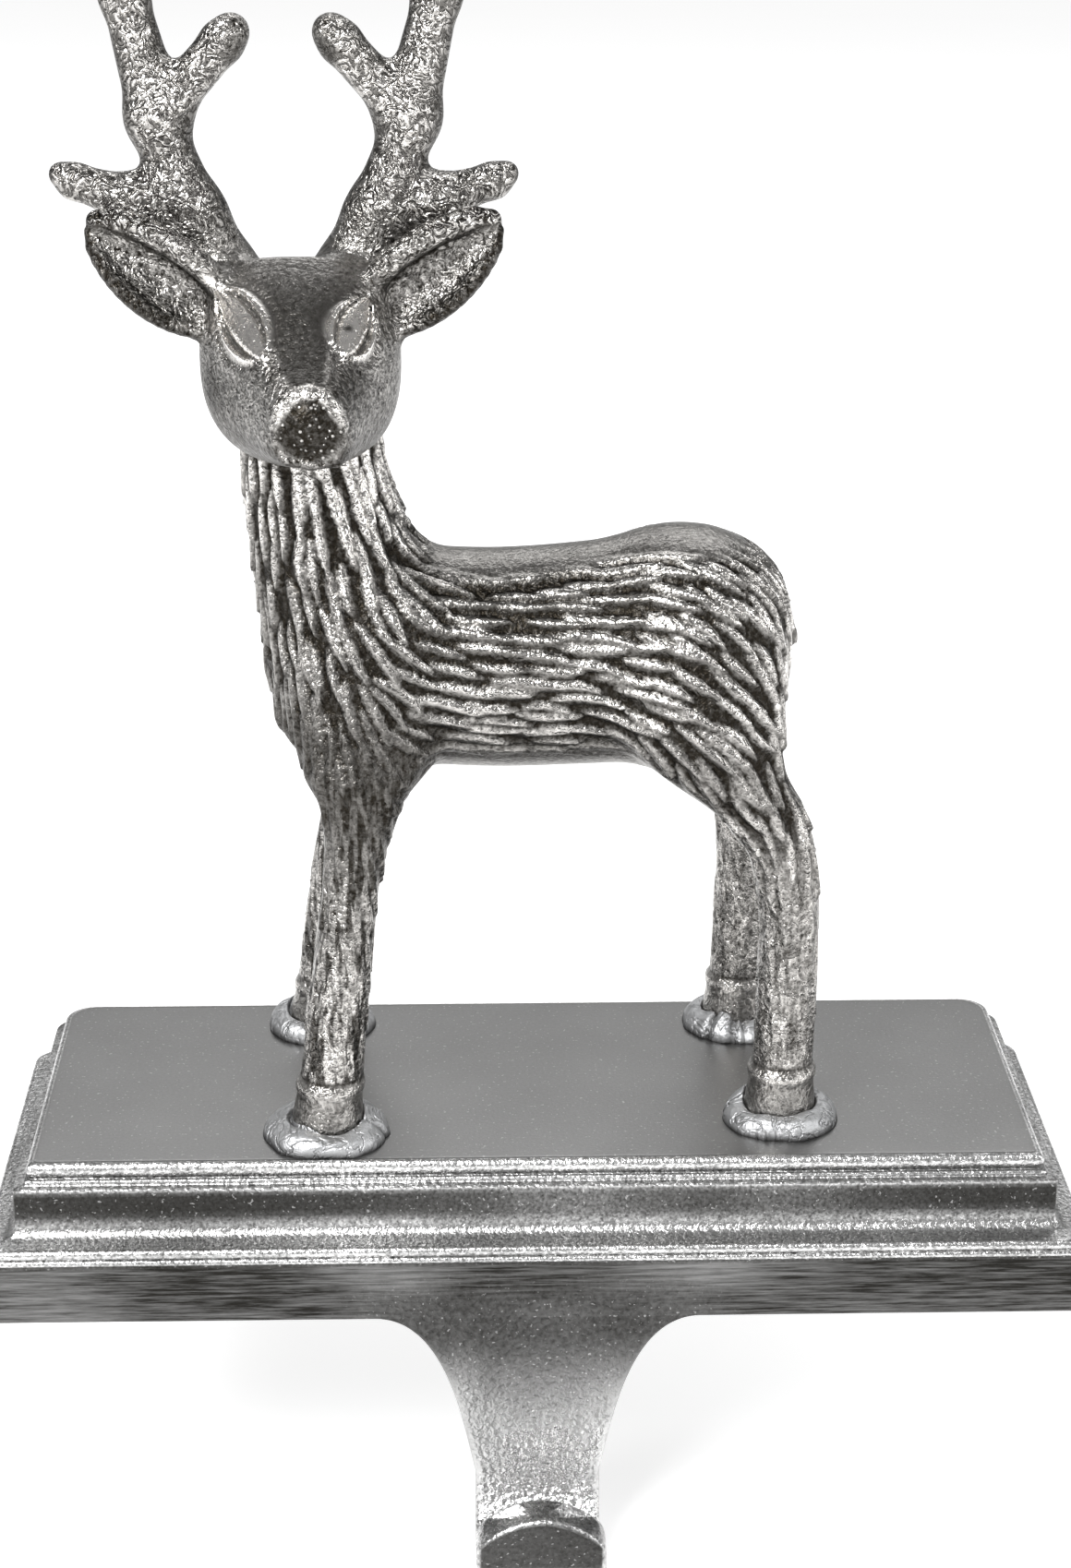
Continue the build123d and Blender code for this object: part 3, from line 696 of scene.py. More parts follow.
nose_rim = [(-28.5, -22.7, 89.6), (-27.8, -23.0, 91.5), (-26.5, -22.8, 92.8), (-24.9, -22.7, 93.3),
            (-23.3, -22.8, 92.8), (-22.0, -23.0, 91.5), (-21.3, -22.7, 89.6)]
mouth = [(-30.6, -16.0, 87.4), (-29.4, -20.0, 86.7), (-27.4, -23.2, 85.9), (-24.8, -23.5, 85.3),
         (-22.0, -22.6, 85.4), (-20.6, -18.5, 85.6), (-20.0, -13.2, 85.6)]


def skull_field(x, y, z):
    """Wedge of rounded boxes, shaved along the forehead and cheeks, with eyes and a nose pad laid on."""
    field = ovals(y, x, z, [(s, cx, (low + high) / 2, w, (high - low) / 2)
                            for s, cx, low, high, w in skull_stations], power=SKULL_POWER)
    for middle, out, reach in FLATS:
        field = soft_max(field, dot(x - middle[0], y - middle[1], z - middle[2], out), reach)
    for eye in (LEFT_EYE, RIGHT_EYE):
        field = field - eye_relief(almond(x, y, z, eye))
    field = soft_min(field, ball(x, y, z, NOSE, NOSE_SIZE), 0.25)
    field = soft_min(field, rope(x, y, z, mouth, 0.45), 0.8)
    return soft_min(field, rope(x, y, z, nose_rim, 0.52), 0.4)


print("skull", skull_stations[-1][0] - skull_stations[0][0], "mm from muzzle to back")

# %% [markdown]
# ## Ears
# Each ear is a cupped leaf: a thin shell whose height over its chord grows with the square of the way across it,
# with a rope laid along each rim, thick over the top and thin below.

# %% Ears
EAR_Y, EAR_Z = BODY_Y - 3.4, CROWN - 8.4
EAR_TURN = radians(36)      # its rise outward from the head
EAR_ROOT = 7.2              # from the head's middle
EAR_LENGTH, EAR_HALF, EAR_RIM_HALF = 19.0, 4.4, 4.0
EAR_CUP = 0.17
EAR_RIMS = ((1, 1.35), (-1, 0.80))      # upper and lower rim, and its radius


def ear_leaf(share):
    """Outline of a leaf: its half width at a share of its length, at most 1."""
    return np.sin(pi * share ** 0.95) ** 0.5


def ear_place(x, z, side):
    """Place on an ear: how far along it from its root, how far across, and its half width there."""
    dx, dz = side * (x - HEAD_X - side * EAR_ROOT), z - EAR_Z
    along = dx * cos(EAR_TURN) + dz * sin(EAR_TURN)
    across = dz * cos(EAR_TURN) - dx * sin(EAR_TURN)
    return along, across, EAR_HALF * ear_leaf(np.clip(along / EAR_LENGTH, 0.001, 0.999))


def ear_field(x, y, z, side):
    """Cupped leaf: a shell that curls forward at its edges, rolled along its rims."""
    along, across, half = ear_place(x, z, side)
    cup = EAR_Y - EAR_CUP * across ** 2
    field = soft_max(np.abs(y - cup) - 0.95, (np.abs(across) - half) * 0.8, 0.9)
    field = soft_max(np.maximum(field, -along), along - 18.9, 0.8)
    a = EAR_LENGTH * np.linspace(0.10, 0.99, 14)
    rims = []
    for way, thick in EAR_RIMS:
        b = way * EAR_RIM_HALF * ear_leaf(a / EAR_LENGTH)
        points = np.stack([HEAD_X + side * (EAR_ROOT + a * cos(EAR_TURN) - b * sin(EAR_TURN)),
                           EAR_Y - EAR_CUP * b * b, EAR_Z + a * sin(EAR_TURN) + b * cos(EAR_TURN)], 1)
        rims.append(rope(x, y, z, points, thick))
    return soft_min(field, np.minimum(*rims), 0.6)


print("ears", EAR_LENGTH, "mm long and", 2 * EAR_HALF, "mm wide")

# %% [markdown]
# ## Antlers
# Each antler has a main beam, a brow tine that reaches outward over the ear and a short inner tine. All are
# tapering rods through points, given outward, back and upward from the antler's foot, and webbed where they meet.

# %% Antlers
ANTLER_RISE = 43.0
ANTLER_MIDDLE, ANTLER_OUT = HEAD_X - 1.2, 7.6
BEAM = ((-1.0, 0, -0.10, 4.1), (4.6, 0.3, 0.15, 3.1), (6.6, 1.0, 0.33, 3.2), (9.9, 2.3, 0.64, 2.5),
        (11.6, 3.6, 0.92, 1.8), (11.9, 3.8, 0.97, 1.2))                 # out, back, share of the rise, radius
BROW = ((0, 0, 3.1), (0.45, 1.5, 2.7), (0.82, 3.6, 1.9), (0.91, 4.4, 1.3))      # share of the reach, up, radius
INNER = ((0, 2.5), (0.8, 2.35), (0.9, 2.1))                             # share of the reach, radius
BROW_REACH, INNER_REACH, INNER_UP, TINE_FORWARD = 16.5, -9.6, 10.8, -0.8


def antler_field(x, y, z, side):
    """Main beam, brow tine and inner tine, each a rod through points, webbed where they meet."""
    foot = np.array([ANTLER_MIDDLE + side * ANTLER_OUT, BODY_Y + 1.0, CROWN])

    def at(out, back, rise):
        return foot + (side * out, back, ANTLER_RISE * rise)

    beam = chain(x, y, z, [at(*place) for *place, r in BEAM], [r for *place, r in BEAM], 2.0)
    brow_foot, inner_foot = at(2.6, 0.4, 0.08), at(6.6, 0.9, 0.32)
    brow = chain(x, y, z, [brow_foot + (side * BROW_REACH * s, TINE_FORWARD * s, up) for s, up, r in BROW],
                 [r for s, up, r in BROW], 1.2)
    inner = chain(x, y, z, [inner_foot + (side * INNER_REACH * s, TINE_FORWARD * s, INNER_UP * s)
                            for s, r in INNER], [r for s, r in INNER], 1.0)
    web = chain(x, y, z, [brow_foot + (side * 7.0, -0.3, 1.0), at(-0.5, -0.5, -0.08)], [2.3, 3.2])
    return soft_min(soft_min(soft_min(beam, brow, 2.4), inner, 2.4), web, 2.0)


print("antlers rise", ANTLER_RISE, "mm over the crown")

# %% [markdown]
# ## The head
# Skull, ears and antlers are merged and read off at a finer step than the body, because a face is looked at more
# closely. A slimmer copy of the neck's top goes with them, so that head and neck meet inside the coat.

# %% Head form
HEAD_STEP = 0.33
COLLAR_SLIM, COLLAR_LOW = 0.9, 79.5


def head_field(x, y, z):
    """Skull, ears, antlers and the neck's top, softly merged."""
    field = skull_field(x, y, z)
    for side in (-1, 1):
        field = soft_min(field, ear_field(x, y, z, side), 1.6)
        field = soft_min(field, antler_field(x, y, z, side), 2.2)
    collar = np.maximum(neck_field(x, y, z, COLLAR_SLIM), COLLAR_LOW - z)
    return soft_min(field, collar, 1.6)


head_low, head_high = (-60.0, -27.0, 78.5), (6.0, 12.5, 149.5)
x, y, z = block(head_low, head_high, HEAD_STEP)
head_points, head_faces = surface(head_field(x, y, z), head_low, HEAD_STEP)
head_normals = normals(head_points, head_faces)
print("head", len(head_points), "points", 2 * len(head_faces), "triangles")

# %% [markdown]
# ## The head's tones and painted shade
# The face is greyer than the coat. A dark panel, a V in outline, runs down the forehead, and the nose is dark.
# Painted shade darkens the hollows of the cheeks, faces turned downwards and the antlers' sides, so the antlers'
# fronts stay bright; the eyelids and the rims of nose and mouth are bright.

# %% Head tones
PUPIL = (-20.9, -13.5, 97.8)
PANEL_Y = (-22.5, -21.0, -17.0, -14.0, -11.0, -8.0, -5.0, -1.0)
PANEL_HALF = (1.6, 2.0, 2.7, 3.4, 4.6, 6.6, 8.6, 9.2)


def on_line(points, line, reach):
    """1 on a line through points, 0 at reach from it and beyond."""
    return settle(reach, 0.35 * reach, rope(*points.T, line, 0.0))


hx, hy, hz = head_points.T
side_facing, up_facing = np.abs(head_normals[:, 0]), head_normals[:, 2]
panel_gap = np.abs(hx + 25.3 + 0.13 * (hy + 21)) - np.interp(hy, PANEL_Y, PANEL_HALF)
forehead = settle(0.5, -0.3, panel_gap) * settle(0.3, 0.55, up_facing) * settle(CROWN + 1.0, CROWN, hz)
nose = settle(1.0, 0.4, ball(hx, hy, hz, NOSE, NOSE_SIZE)) * settle(-21.6, -22.6, hy)
horn = settle(CROWN + 0.5, CROWN + 4.0, hz) * settle(5.0, 7.0, np.abs(hx - ANTLER_MIDDLE))
# Antlers grow paler towards the tips, with painted shade on their faces turned sideways.
horn_tone_and_shade = (0.42 + 0.26 * settle(CROWN, CROWN + 14, hz)) * (1 - 0.75 * settle(0.45, 0.90, side_facing))
# Painted shade in the hollows of the cheeks, below the eyes and beside the nose.
cheek_painted_shade = spot(hx, -36.6, 2.4) * spot(hz, 90.0, 3.6)
cheek_painted_shade += spot(hx, -20.4, 2.0) * spot(hz, 92.6, 2.6) * settle(-12, -15, hy)
eye_place = np.minimum(almond(hx, hy, hz, LEFT_EYE), almond(hx, hy, hz, RIGHT_EYE))
about_eyes = settle(3.0, 1.4, eye_place)
pupil = settle(1.0, 0.5, np.sqrt((hx - PUPIL[0]) ** 2 + (hy - PUPIL[1]) ** 2 + (hz - PUPIL[2]) ** 2))
mouth_corners = on_line(head_points, mouth, 1.0) * settle(3.4, 5.4, np.abs(hx - NOSE[0]))

head_polish = towards(0.32 + 0.20 * settle(91, 85, hz), horn, horn_tone_and_shade)
# Painted shade on faces turned downwards, under the jaw and the brows; the antlers are left out.
head_polish = towards(head_polish, settle(0.35, -0.45, up_facing) * (1 - horn), 0.10)
head_polish *= 1 - 0.75 * np.clip(cheek_painted_shade, 0, 1) * (1 - horn)
for share, tone in ((about_eyes, 0.52),
                    (forehead, 0.08 + 0.20 * settle(-12, -2, hy)),
                    (settle(0.80, 0.72, eye_place), 1.0),       # eyeball
                    (spot(eye_place, 0.86, 0.10), 0.06),        # cut about it
                    (spot(eye_place, 1.15, 0.20), 0.98),        # lids
                    (pupil, 0.03), (nose, 0.015)):
    head_polish = towards(head_polish, share, tone)
head_polish = np.maximum(head_polish, np.maximum(0.85 * on_line(head_points, nose_rim, 1.1), 0.5 * mouth_corners))
print("the head's tone is", head_polish.mean().round(2), "on average")

# %% [markdown]
# ## The ears' tones, and the finished stag
# An ear is grey in its cup and dark along its lower edge, and its upper rim is bright with painted shade in a
# line under it.
# The grain is kept off the eyes and the antlers' fronts. Body and head together stand for the CAD's one casting.

# %% Ear tones
ears = np.zeros(len(hx))
for side in (-1, 1):
    along, across, half = ear_place(hx, hz, side)
    cup_gap = np.abs(hy - EAR_Y + EAR_CUP * across ** 2)
    on_ear = settle(4.5, 6.5, along) * settle(21, 20, along)
    on_ear *= settle(6.4, 5.4, np.abs(across)) * settle(3.2, 2.2, cup_gap)
    ear_tone = 0.36 - 0.30 * settle(0.5, 0.85, -across / half)
    ear_tone = towards(ear_tone, settle(0.55, 0.72, across / half), 0.55)
    # Painted shade: a dark line where the upper rim rolls over the cup.
    ear_tone = towards(ear_tone, spot(across / half, 0.50, 0.11), 0.04)
    head_polish = towards(head_polish, on_ear, ear_tone)
    ears = np.maximum(ears, on_ear * settle(0.45, 0.7, np.abs(across) / half))

head_grit = (1 - 0.40 * forehead) * (1 - 0.75 * about_eyes) * (1 - 0.75 * horn)
head_worm = (0.60 + 0.40 * horn + 0.25 * ears) * (1 - settle(1.5, 1.3, eye_place))
head_worm *= (1 - forehead) * (1 - nose)
head_points[:, 2] += TOP
stag_head = make_piece("stag_head", head_points, head_faces, 180.0, polish=head_polish, grit=head_grit,
                       worm=head_worm, streak=0 * hx, nose=nose)
for piece in (stag_body, stag_head):
    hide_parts("stag_casting")

# %% [markdown]
# ## The plinth's moulding
# A moulding runs round the plinth: a bead at the top edge, a flat frieze, a hollow, a roll and a plain band.
# A patternmaker would run it as one profile, and so does the list below: how far it reaches out from the flat
# top's edge, and its height over the seat, from the middle of the top to the middle of the underside.

# %% Plinth profile
HALF_W, HALF_D = 60.0, 22.0
UNDERSIDE = 1.5
FRIEZE_REACH, BAND_REACH = 2.1, 5.4


def arc(centre, radius, start, stop, count):
    """Points on a circle from one angle to another, in degrees."""
    turn = np.radians(np.linspace(start, stop, count))
    return [(centre[0] + radius * np.cos(t), centre[1] + radius * np.sin(t)) for t in turn]


plinth_profile = (
    [(reach, TOP) for reach in (-HALF_D, -12.0, -2.0, -0.8, -0.3)]
    + arc((-0.3, TOP - 0.95), 0.95, 90, -65, 11)
    + [(0.25, TOP - 1.92)] + arc((0.62, TOP - 2.3), 0.36, 130, -30, 6)
    + [(1.05, TOP - 2.6), (1.9, TOP - 2.6)]
    + [(FRIEZE_REACH, TOP - drop) for drop in (2.75, 3.1, 3.6, 4.4, 5.4, 6.2, 6.8)]
    + arc((3.7, TOP - 7.2), 1.6, 180, 270, 7)
    + [(4.6, TOP - 8.8), (4.9, TOP - 8.85)] + arc((5.15, TOP - 9.5), 0.65, 90, -60, 8)
    + [(5.35, TOP - 10.2)] + arc((5.35, TOP - 10.6), 0.4, 70, -60, 5)
    + [(BAND_REACH, height) for height in (TOP - 11.05, 8.4, 6.0, 3.6, UNDERSIDE)]
    + [(reach, UNDERSIDE) for reach in (2.0, -12.0, -HALF_D)])
print("moulding of", len(plinth_profile), "points, standing out", BAND_REACH, "mm")

# %% [markdown]
# ## The plinth
# Each point of the profile is carried round a rounded rectangle of its own reach, so a grid with the profile
# across and the path along it gives the whole plinth. The first and last rows close it over top and underside.

# %% Plinth
FRONT_CORNER, BACK_CORNER = 0.5, 3.2    # radii of the upright corners
CORNER_STEPS = 9
PATH_STEP = 0.45


def plinth_grid(profile):
    """Each profile point is a rounded rectangle of its own reach, all with the same number of places."""
    reach, height = np.array(profile).T
    bends = []
    corners = ((1, -1, FRONT_CORNER), (1, 1, BACK_CORNER), (-1, 1, BACK_CORNER), (-1, -1, FRONT_CORNER))
    for number, (sx, sy, radius) in enumerate(corners):
        r = np.minimum(radius, np.maximum(HALF_D + reach, 0.0))[:, None]
        turn = np.radians(-90 + 90 * number + np.linspace(0, 90, CORNER_STEPS))[None, :]
        cx = sx * (HALF_W + reach[:, None] - r)
        cy = sy * (HALF_D + reach[:, None] - r)
        bends.append(np.stack([cx + r * np.cos(turn), cy + r * np.sin(turn)], 2))
    runs = []
    for number in range(4):
        start, stop = bends[number][:, -1], bends[(number + 1) % 4][:, 0]
        length = 2 * HALF_D if number % 2 == 0 else 2 * HALF_W
        share = np.linspace(0, 1, int(length / PATH_STEP))[1:-1]
        runs.append(bends[number])
        runs.append(start[:, None] * (1 - share[None, :, None]) + stop[:, None] * share[None, :, None])
    plan = np.concatenate(runs, axis=1)
    heights = np.repeat(height[:, None], plan.shape[1], 1)
    return np.concatenate([plan, heights[..., None]], axis=2)


plinth_points = plinth_grid(plinth_profile)
rows, columns = plinth_points.shape[:2]
print("plinth grid of", rows, "rows and", columns, "columns")

# %% [markdown]
# ## The plinth's painted light and tones
# Tones go with the profile's height and are painted light: edges and beads carry painted highlights, and the
# frieze and the hollow painted dark reflections, nearly black. The front also has a few paler patches, and the
# band's middle, over the tongue, has a pebbled cast skin.
# The way along the path is kept too, for scratches that run round the band.

# %% Plinth tones
# Painted light along the profile: painted highlights on edges and beads, painted dark reflections on frieze and
# hollow.
painted_light_stops = [              # height over the seat, tone
    (1.4, 0.10), (3.0, 0.07), (6.0, 0.05), (8.6, 0.05), (8.95, 0.06), (9.2, 0.60), (9.8, 0.72),
    (10.1, 0.32), (10.4, 0.76), (11.1, 0.66), (11.2, 0.42), (11.6, 0.66), (12.6, 0.48), (13.2, 0.24),
    (13.8, 0.07), (14.6, 0.03), (16.4, 0.03), (16.9, 0.12), (17.25, 0.55), (17.4, 0.40), (17.6, 0.68),
    (17.95, 0.70), (18.08, 0.14), (18.3, 0.68), (19.9, 0.80), (20.0, 0.40)]
BAND_ROW = -4               # a row of the grid at the band's foot, where the way along the path is measured
profile_reach, profile_z = np.array(plinth_profile).T
profile_top = ((profile_reach < -0.05) & (profile_z > 19)).astype(float)
profile_painted_light = np.interp(profile_z, *np.array(painted_light_stops).T) * (1 - profile_top)
profile_band = settle(9.0, 8.6, profile_z)
path_step = np.linalg.norm(np.diff(plinth_points[BAND_ROW], axis=0), axis=1)
path_run = np.concatenate([[0], np.cumsum(path_step)]) * MM

plinth_x, plinth_y, plinth_z = plinth_points.reshape(-1, 3).T
on_front = plinth_y < -HALF_D - 1.5
on_frieze = settle(12.6, 13.8, plinth_z) * settle(17.4, 16.8, plinth_z) * on_front
on_band = settle(9.0, 8.7, plinth_z) * on_front
plinth_tone_and_light = np.repeat(profile_painted_light, columns)
plinth_tone_and_light += on_frieze * (0.12 * spot(plinth_x, 4, 13) + 0.08 * spot(plinth_x, 30, 9))
plinth_tone_and_light += on_band * 0.08 * settle(-42, -54, plinth_x)
plinth_tone_and_light += on_band * settle(2.0, 8.0, plinth_z) * 0.15 * (spot(plinth_x, -16, 9) + spot(plinth_x, 21, 11))
pebbled = settle(27, 13, np.abs(plinth_x)) * settle(7.5, 2.5, plinth_z) * (plinth_y < -HALF_D - 5.3)
plinth = make_piece("plinth", plinth_points.reshape(-1, 3), grid_faces(rows, columns)[:, ::-1], 35.0,
                    tone=plinth_tone_and_light, satin=np.repeat(profile_top, columns),
                    brushed=np.repeat(profile_band, columns) * (1 - pebbled), peel=pebbled,
                    run=np.tile(path_run, rows))

# %% [markdown]
# ## The tongue's path
# The tongue leaves the middle of the band flush with it, narrows in two long curves and bends forward into the
# hook. The path holds, for each row of points, the place in y and z and the half width: down, round the bend and
# up to the tip.

# %% Tongue path
BEND_R = 9.1
BEND_Y, BEND_Z = -33.9, -20.3
TIP_SHOULDER = -18.6
HOOK_HALF = 7.6
EDGE = 0.9                  # radius of the slab's edges
FLANK = ((20.4, 1.5), (11.0, 1.5), (9.2, -13.0), (HOOK_HALF, BEND_Z))     # half width, height
DOWN_ROWS, BEND_ROWS, UP_ROWS = 60, 47, 6


def bezier(points, t):
    """Cubic curve that leaves the first of four points towards the second and meets the last from the third."""
    a, b, c, d = (np.array(p, float)[None, :] for p in points)
    t = t[:, None]
    return a * (1 - t) ** 3 + 3 * b * t * (1 - t) ** 2 + 3 * c * t * t * (1 - t) + d * t ** 3


tongue_y, tip_y = BEND_Y + BEND_R, BEND_Y - BEND_R
root = np.array([[tongue_y, 4.0, 20.0], [tongue_y, 1.6, 20.2]])
flank = bezier(FLANK, np.linspace(0, 1, DOWN_ROWS) ** 1.3)
down = np.stack([np.full(DOWN_ROWS, tongue_y), flank[:, 1], flank[:, 0]], 1)
turns = np.radians(np.linspace(0, -180, BEND_ROWS + 1)[1:])
round_the_bend = np.stack([BEND_Y + BEND_R * np.cos(turns), BEND_Z + BEND_R * np.sin(turns),
                           np.full(BEND_ROWS, HOOK_HALF)], 1)
up = np.stack([np.full(UP_ROWS, tip_y), np.linspace(BEND_Z, TIP_SHOULDER - EDGE, UP_ROWS + 1)[1:],
               np.full(UP_ROWS, HOOK_HALF)], 1)
path = np.concatenate([root, down, round_the_bend, up])
way = np.gradient(path[:, :2], axis=0)
way /= np.linalg.norm(way, axis=1, keepdims=True)
way[:len(root)] = (0, -1)
outward = np.stack([way[:, 1], -way[:, 0]], 1)
print("path of", len(path), "rows, lowest at", round(path[:, 1].min(), 1), "mm")

# %% [markdown]
# ## Tongue and hook
# The section is a slab with rounded edges, laid square to the path at every row. A few more rows roll its end
# over into a lip, the tip is crowned towards its middle, and a point at each end closes the form.

# %% Tongue and hook
THICK = 5.2
TIP_CROWN = 3.6
WIDE_PLACES, EDGE_PLACES, LIP_ROWS = 28, 6, 5
ROOT_INSET = (1.2, 0.35)    # the first rows are drawn in, inside the plinth


def slab_section():
    """Loop round a slab: at each place the side across and through, and its part of the edge's arc in each."""
    edges = []
    for across, through, start in ((1, -1, -90), (1, 1, 0), (-1, 1, 90), (-1, -1, 180)):
        turn = np.radians(start + np.linspace(0, 90, EDGE_PLACES))
        edges.append(np.stack([0 * turn + across, 0 * turn + through, np.cos(turn), np.sin(turn)], 1))
    wide = np.linspace(1, -1, WIDE_PLACES)[1:-1]
    level = np.ones(len(wide))
    back = np.stack([wide, level, 0 * wide, level], 1)
    front = np.stack([-wide, -level, 0 * wide, -level], 1)
    return np.concatenate([edges[0], edges[1], back, edges[2], edges[3], front])


side_across, side_through, arc_across, arc_through = slab_section().T[:, None, :]
tip_row = len(path) - 1
lip = np.radians(np.linspace(0, 90, LIP_ROWS + 1))[1:]
inset = np.concatenate([ROOT_INSET, np.zeros(len(path) - 2), EDGE * (1 - np.cos(lip))])
rise = np.concatenate([np.zeros(len(path)), EDGE * np.sin(lip)])
path = np.concatenate([path, np.repeat(path[-1:], LIP_ROWS, 0)])
outward = np.concatenate([outward, np.repeat(outward[-1:], LIP_ROWS, 0)])
half_wide = (path[:, 2] - inset)[:, None]
half_thick = (THICK / 2 - inset)[:, None]
across = side_across * (half_wide - EDGE) + EDGE * arc_across
through = side_through * (half_thick - EDGE) + EDGE * arc_through
crown_share = settle(tip_row - 7, tip_row, np.arange(len(path)))[:, None]
crown = TIP_CROWN * (1 - (across / HOOK_HALF) ** 2) * crown_share
hook_y = path[:, :1] - outward[:, :1] * through
hook_z = path[:, 1:2] - outward[:, 1:] * through + rise[:, None] + crown
hook_grid = np.stack([across, hook_y, hook_z], 2)
caps = [np.repeat(hook_grid[i].mean(0)[None, None], hook_grid.shape[1], 1) for i in (0, -1)]
hook_grid = np.concatenate([caps[0], hook_grid, caps[1]])
print("hook tip", round(hook_grid[..., 2][-LIP_ROWS:].max(), 1), "mm, bottom", round(hook_grid[..., 2].min(), 1))

# %% [markdown]
# ## The hook's painted light
# The tongue is pebbled like the band at its root; its colour is a painted reflection, dark at the top and paler
# down to the bend. The tip's front face is painted dark again between bright edges. Plinth and hook together
# stand for the CAD's one base casting.

# %% Hook tones
TIP_FROM, TIP_BY = 30, 44   # rows past the tongue over which the tip's tone sets in
TIP_FACE = -45.45           # the front face's y
hook_front, hook_height = hook_grid.reshape(-1, 3).T[1:]
hook_row = np.repeat(np.arange(len(hook_grid)), hook_grid.shape[1])
on_tip = settle(len(root) + DOWN_ROWS + TIP_FROM, len(root) + DOWN_ROWS + TIP_BY, hook_row)
tip_front = settle(TIP_FACE + 0.1, TIP_FACE - 0.1, hook_front)
# Painted reflection: dark at the tongue's top, paler down to the bend; the tip's front face is painted dark.
hook_painted_light = towards(0.08 + 0.64 * settle(0, -16, hook_height), on_tip, 0.55 - 0.49 * tip_front)
nothing = np.zeros(len(hook_painted_light))
hook = make_piece("tongue_and_hook", hook_grid.reshape(-1, 3), grid_faces(*hook_grid.shape[:2]), 50.0,
                  tone=hook_painted_light, satin=nothing, brushed=nothing, run=nothing,
                  peel=1 - on_tip * (1 - 0.5 * tip_front))
for piece in (plinth, hook):
    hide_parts("base_casting")

# %% [markdown]
# ## Filler beads
# A ring of filler metal fixes each hoof. It was laid by hand, so its crest wanders, and it is split by creases.
# Each ring is a grid: the angle round the hoof and the way over the bead from the hoof to the plinth. A narrow
# crevice is left beside the hoof, and towards one side the metal has climbed the cuff.

# %% Filler beads
BEAD_SEED = 3
BEAD_PLACES, BEAD_ROWS = 180, 26
BEAD_INNER, BEAD_TALL, BEAD_CLIMB = 3.6, 2.3, 1.7
CREASES = 4
hooves = (                  # place, how far the bead reaches, and the angle where it climbs
    (FRONT_NEAR, 7.6, 0.3), (FRONT_FAR, 6.8, 2.4), (HIND_NEAR, 7.0, 2.6), (HIND_FAR, 6.9, 4.2))
bead_random = np.random.default_rng(BEAD_SEED)


def wander(angle, waves, size):
    """Smooth random number round a circle: a few sine waves of random phase, as large as size."""
    total = np.zeros_like(angle)
    for number in range(1, waves + 1):
        total += np.sin(number * angle + bead_random.uniform(0, 2 * pi)) / number
    return size * total / np.sqrt(waves)


def turn_from(angle, start):
    """Turn from one angle to others, the short way round."""
    return np.angle(np.exp(1j * (angle - start)))


def bead_grid(hoof, width, skirt):
    """Rings over the bead from inside the hoof out to the plinth, and each point's painted shade.

    The bead is flat-topped and falls steeply at its outer edge; towards the skirt's angle it climbs the hoof.
    """
    angle = np.linspace(0, 2 * pi, BEAD_PLACES, endpoint=False)
    over = np.linspace(0, 1, BEAD_ROWS)[:, None]
    reach = width + wander(angle, 14, 0.7)
    tall = BEAD_TALL + wander(angle, 8, 0.55)
    climb = BEAD_CLIMB * spot(turn_from(angle, skirt), 0, 0.7)
    crease = np.zeros_like(angle)
    for middle in skirt + bead_random.uniform(-1.3, 1.3, CREASES):
        cut = bead_random.uniform(0.3, 1.0)
        crease = np.maximum(crease, cut * spot(turn_from(angle, middle), 0, bead_random.uniform(0.03, 0.09)))
    radius = BEAD_INNER + (reach - 0.5 * crease - BEAD_INNER) * over
    lumps = wander(angle, 20, 0.45) * np.sin(pi * over) + wander(angle, 20, 0.30) * np.sin(2 * pi * over)
    height = tall * (1 - 0.5 * crease) * (1 - over ** 3.2) ** 0.55 + climb * (1 - over) ** 1.4 + lumps
    height = np.maximum(height - 0.7 * spot(over, 0.18, 0.06), 0) * (over < 1)
    bead_y = np.maximum(hoof[1] + radius * np.sin(angle), -HALF_D + 0.3)
    points = np.stack([hoof[0] + radius * np.cos(angle), bead_y, TOP + height], 2)
    # Painted shade: dark in the crevice beside the hoof, at the bead's outer foot on the plinth and in the
    # creases.
    shine = (1 - 0.85 * spot(over, 0.19, 0.06)) * settle(1.0, 0.94, over) * (1 - 0.9 * crease)
    points[-1, :, 2] = TOP - 0.05
    under = points[-1:].copy()
    under[..., :2] = hoof + (under[..., :2] - hoof) * 0.5
    return np.concatenate([points, under, points[:1]]), np.concatenate([shine, shine[-1:], shine[:1]])


print(len(hooves), "beads to lay, each", BEAD_PLACES, "places round and", BEAD_ROWS, "rows over")

# %% [markdown]
# ## Laying the beads
# The four rings share one mesh, because they are one node in the CAD; each has its own random wander, so no two
# are alike.

# %% Bead rings
bead_grids, bead_shines = zip(*[bead_grid(np.array(hoof), width, skirt) for hoof, width, skirt in hooves])
bead_rows, bead_columns = bead_grids[0].shape[:2]
ring_faces = grid_faces(bead_rows, bead_columns)
bead_points = np.concatenate([grid.reshape(-1, 3) for grid in bead_grids])
bead_faces = np.concatenate([ring_faces + i * bead_rows * bead_columns for i in range(len(hooves))])
beads = make_piece("filler_beads", bead_points, bead_faces[:, ::-1], 70.0,
                   shine=np.concatenate([shine.ravel() for shine in bead_shines]))
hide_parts("hoof_beads")

# %% [markdown]
# ## Stag finish
# Raw cast metal, bright where it was rubbed and where light is painted, both held in one attribute, and dark in
# the cuts and the painted shade. Fine grain pits it all over, worm-like creases run where the sand left them,
# streaks run down the legs, and the nose is dotted. All of these darken the colour and most tilt the surface too,
# so the light breaks on them as on a real casting.

